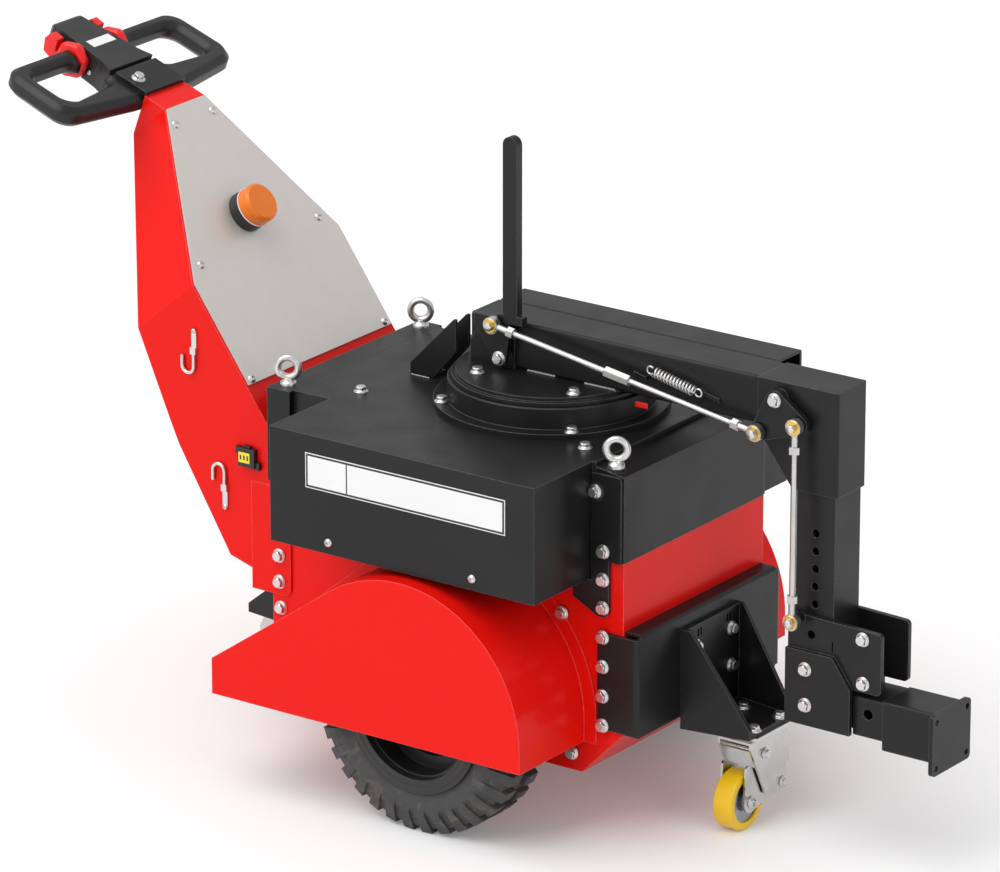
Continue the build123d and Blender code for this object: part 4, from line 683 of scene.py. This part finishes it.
def add_stickers():
    """The side plate, blank, with its double border and divider, and the small plate on the head."""
    divider = (PLATE_DIVIDER - PLATE_START) / PLATE_LONG
    line = PLATE_LINE / PLATE_LONG
    fields = [("white_label", 0, 0, 1, 1), ("black_label", BORDER_OUTER, 0, 1, 2),
              ("white_label", BORDER_INNER, 0, 1, 3),
              ("black_label", BORDER_INNER, divider - line, divider, 4)]
    for side in SIDES:
        add_label(f"side_plate_{side}", at(PLATE_START, side * POD_FACE, PLATE_FOOT),
                  Vector((PLATE_LONG, 0, 0)) * MM, Vector((0, 0, PLATE_HIGH)) * MM, Vector((0, side, 0)),
                  fields)
    add_label("head_plate", on_handle(140, -25, 8), HANDLE_OUT * HEAD_PLATE_LONG * MM,
              Vector((0, HEAD_PLATE_WIDE, 0)) * MM, HANDLE_UP, [("white_label", 0, 0, 1, 2)])


def add_eyes():
    """Forged lifting eyes: a ring of round bar, thinner at the top, on a turned collar."""
    collar = circles(((13.5, 0), (13.5, 5), (12.6, 6.5), (10.2, 7.5), (8.5, 11), (7.8, 14)))
    turn = radians(EYE_TURN)
    angles = round_angles(48)
    bm = bmesh.new()
    for x, base in ((-379, 644), (275, 636)):
        for y in (-184, 184):
            add_rings(bm, turning_frame(at(x, y, base), TO_TOP), collar)
            centre = at(x, y, base + EYE_RISE)
            ring = [centre + Vector((cos(a) * cos(turn), cos(a) * sin(turn), sin(a))) * EYE_RING * MM
                    for a in angles]
            add_tube(bm, ring, lambda step: EYE_BAR - 0.6 * sin(angles[step]), steps=18, closed=True)
    piece = add_piece("eye_bolts", bm, "zinc", "root", 50)
    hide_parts("lifting_eyes")


def add_spring():
    """The return spring as a real coil with a hook at each end."""
    start, end = at(257, -53, 756), at(335, -53, 739)
    axis = (end - start).normalized()
    side = Vector(TO_RIGHT)
    other = axis.cross(side)
    coil = []
    for step in range(COIL_TURNS * COIL_STEPS + 1):
        angle = 2 * pi * step / COIL_STEPS
        place = start.lerp(end, step / (COIL_TURNS * COIL_STEPS))
        coil.append(place + (side * cos(angle) + other * sin(angle)) * COIL_RADIUS * MM)
    bm = bmesh.new()
    add_tube(bm, coil, COIL_WIRE, steps=8)
    for root, way in ((start, -1), (end, 1)):
        middle = root + axis * way * HOOK_OFF * MM
        hook = [middle + (axis * way * cos(a) + other * sin(a)) * HOOK_RADIUS * MM
                for a in (radians(150 - 20 * step) for step in range(15))]
        add_tube(bm, hook, COIL_WIRE, steps=8)
    piece = add_piece("coil_spring", bm, "zinc", "boom", 60)
    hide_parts("spring")


def add_boom_tabs():
    """Small flat bars welded to the boom's side that hold the spring."""
    slope = 0.22
    bm = bmesh.new()
    for x, z, length, deep in ((214, 741, 24, 9), (346, 731, 30, 4)):
        add_slab(bm, at(x, -BOOM_SIDE, z), Vector((length, 0, -length * slope)) * MM,
                 Vector((0, -deep, 0)) * MM, Vector((0, 0, 7)) * MM)
    add_piece("boom_tabs", bm, "black_coat", "boom")


def add_bushes():
    """Brass faces in the rods' eyes, and the pins' turned ends."""
    # For each rod its two eyes: reach, height and the brass face's inner radius
    rods = {"pull_rod": ((-50, 780, 6.2), (463, 700, 9.4)), "lift_rod": ((537, 724, 6.2), (537, 396, 9.4))}
    for rod, eyes in rods.items():
        faces, ends = bmesh.new(), bmesh.new()
        for x, z, inner in eyes:
            eye = turning_frame(at(x, -ROD_FACE, z), TO_RIGHT)
            add_rings(faces, eye, circles(((ROD_EYE, 0), (ROD_EYE, 0.8), (ROD_EYE - 0.8, 1.6),
                                           (inner + 0.4, 1.6), (inner, 0.8))))
            add_rings(ends, eye, [hexagon(6.6, 0), hexagon(6.6, 8.6, bevel=4), circle(6.0, 9.0),
                                  circle(2.0, 9.2)])
        add_piece(f"{rod}_bushes", faces, "brass", rod)
        add_piece(f"{rod}_pin_ends", ends, "zinc", rod)


def add_hooks():
    """Cable hooks of bent round bar, each with a flat strip, a ferrule and a screw."""
    bend = 12
    bm = bmesh.new()
    # Reach and height of each hook's screw, and 1 where it hangs or -1 where it stands
    for x, z, down in ((-559, 707, 1), (-498, 412, -1)):
        def place(side, drop):
            return at(x + side, -MAST_SIDE - 3.5, z - down * drop)
        arc = [place(-bend + bend * cos(a), 62 + bend * sin(a))
               for a in (radians(15 * step) for step in range(13))]
        add_tube(bm, [place(0, 30), place(0, 50)] + arc + [place(-2 * bend, 44)], 3.2)
        add_block(bm, at(x - 5, -MAST_SIDE, z), 10, -3, -down * 38)
        add_block(bm, at(x - 5.5, -MAST_SIDE, z - down * 34 - 6), 11, -6.8, 12)
        add_button(bm, at(x, -MAST_SIDE - 3, z), TO_RIGHT, SCREW_M5)
    piece = add_piece("cable_hooks", bm, "zinc", "root", 50)
    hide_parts("storage_hooks")


def add_meter_face():
    """The charge meter's ears and its blank yellow face with three dark marks."""
    bm = bmesh.new()
    for x, z, wide, high in ((-472, 520, 8, 12), (-431, 498, 8, 12), (-456, 526, 14, 7)):
        add_block(bm, at(x, -MAST_SIDE, z - high / 2), wide, -7, high)
    add_piece("meter_ears", bm, "black_plastic", "root")
    bm = bmesh.new()
    add_block(bm, at(-463, -METER_SIDE, 501), 23, -0.6, 18)
    add_piece("meter_face", bm, "charge_yellow", "root")
    bm = bmesh.new()
    for x in (-460, -453, -446):
        add_block(bm, at(x, -METER_SIDE - 0.6, 506), 3, -0.2, 8)
    add_piece("meter_marks", bm, "black_label", "root")


def add_welds():
    """Weld beads along the foot of the boom, the lever's plate and the lock's wings."""
    # Start and end of each bead along the machine, and its radius
    bm = bmesh.new()
    for start, end, radius in ((0, 56, 3.0), (113, 173, 3.0), (-108, -76, 2.2)):
        add_bead(bm, at(start, -BOOM_SIDE - 1, DISC_TOP + 1), at(end, -BOOM_SIDE - 1, DISC_TOP + 1), radius)
    add_piece("boom_welds", bm, "weld_bead", "boom", 60)
    bm = bmesh.new()
    for y in (-25, 25):
        add_bead(bm, at(-246, y, COVER_TOP + 1), at(-208, y, COVER_TOP + 1), 2.0)
    add_piece("lock_welds", bm, "weld_bead", "root", 60)


def add_dark_marks():
    """Painted shade: thin near-black discs and strips stand in for the dark inside of bores and slots."""
    bm = bmesh.new()
    for side in SIDES:
        add_rings(bm, turning_frame(at(558, side * CHEEK_FACE, 371), (0, side, 0)),
                  circles(((7, 0), (7, MARK_DEEP))), 24)
        add_block(bm, at(597, side * CHEEK_FACE, 350), 2, side * MARK_DEEP, 17)
    add_piece("hitch_hole_shade", bm, "dark_hole", "hitch")
    bm = bmesh.new()
    for y in (-46, -38, 38, 46):
        add_block(bm, at(BRACKET_FACE, y, 320), MARK_DEEP, 3, 13)
    add_piece("bracket_slot_shade", bm, "dark_hole", "root")


def add_castor_bolts():
    """Nuts and bolt ends on the castors' side plates, and the axle nuts."""
    # Each castor's reach and the way that its wheel trails; then along the trail, height, and out
    for name, reach, trail in (("front_castor", 412, (0, -1)), ("rear_castor", -490, (1, 0))):
        across = Vector((trail[1], -trail[0], 0))
        places = []
        for along, z, out in ((-51, 61, 32.5), (1, 127, 32.5), (30, 50, 25.5)):
            middle = at(reach + along * trail[0], along * trail[1], z)
            places += [(middle + across * side * out * MM, across * side) for side in SIDES]
        add_bolts(f"{name}_bolts", name, places, BOLT_M8)


def add_rim_rings():
    """Raised rings where each tyre's bead sits in its rim."""
    # Radius, and how far out from the tyre's face
    profile = ((103, -8), (104, 0.4), (107, 1.4), (110, 0.5), (113, 0.5), (115, 1.6), (119, 1.8), (121, 0.6),
               (124, 0.6), (126, 1.2), (128, 0.4), (129, -10))
    for name, side in (("right", -1), ("left", 1)):
        bm = bmesh.new()
        wheel = turning_frame(at(0, side * TYRE_FACE, WHEEL_AXLE_Z), (0, side, 0))
        add_rings(bm, wheel, circles(profile), 96, caps=False)
        add_piece(f"bead_rings_{name}", bm, "rim_paint", f"wheel_{name}")


def add_boom_stop():
    """A red stop under the boom."""
    bm = bmesh.new()
    add_block(bm, at(214, -BOOM_SIDE, 686), 22, -4, 9)
    add_piece("boom_stop", bm, "red_plastic", "boom")


def add_bolt_seats():
    """The dark seats of the highest wall bolts."""
    bm = bmesh.new()
    for place, normal in both_sides([(250, 205.5, 597)]):
        add_rings(bm, turning_frame(place, normal), circles(((17.5, 0), (17.5, 1.0), (16.5, 1.6))))
    add_piece("bolt_seats", bm, "black_plastic", "root")


def add_thumb_covers():
    """Moulded six-sided covers with soft corners over the thumb wheels' collars."""
    # Share of the full size, and height along the wheel's axle
    profile = ((0.80, -8.5), (0.94, -7.0), (1, -3.0), (1, 4.5), (0.94, 8.5), (0.72, 10.2))
    rings = [soft_hexagon(THUMB_FLAT * share, height) for share, height in profile]
    bm = bmesh.new()
    for side in SIDES:
        add_rings(bm, turning_frame(on_handle(157, side * 54, -18), (0, side, 0)), rings, 48)
    add_piece("thumb_covers", bm, "red_plastic", "root", 60)


def add_beacon_ring():
    """The thin bright seam between the beacon's base and its lens."""
    bm = bmesh.new()
    centre = on_panel(BEACON_ALONG, 0, BEACON_SEAM_OUT)
    ring = [centre + (PANEL_UP * cos(a) + Vector((0, 1, 0)) * sin(a)) * BEACON_SEAM_RADIUS * MM
            for a in round_angles(64)]
    add_tube(bm, ring, 0.9, steps=8, closed=True)
    add_piece("beacon_seam", bm, "white_label", "root", 60)


add_camera()
add_world()
add_sun("key", KEY_FROM, KEY_STRENGTH, KEY_SOFTNESS)
for light in AREA_LIGHTS:
    add_light(*light)
add_floor()
dress_frame()

add_body_bolts()
add_boom_bolts()
add_stickers()
add_eyes()
add_spring()
add_boom_tabs()
add_bushes()
add_hooks()
add_meter_face()
add_welds()
add_dark_marks()
add_castor_bolts()
add_rim_rings()
add_boom_stop()
add_bolt_seats()
add_thumb_covers()
add_beacon_ring()
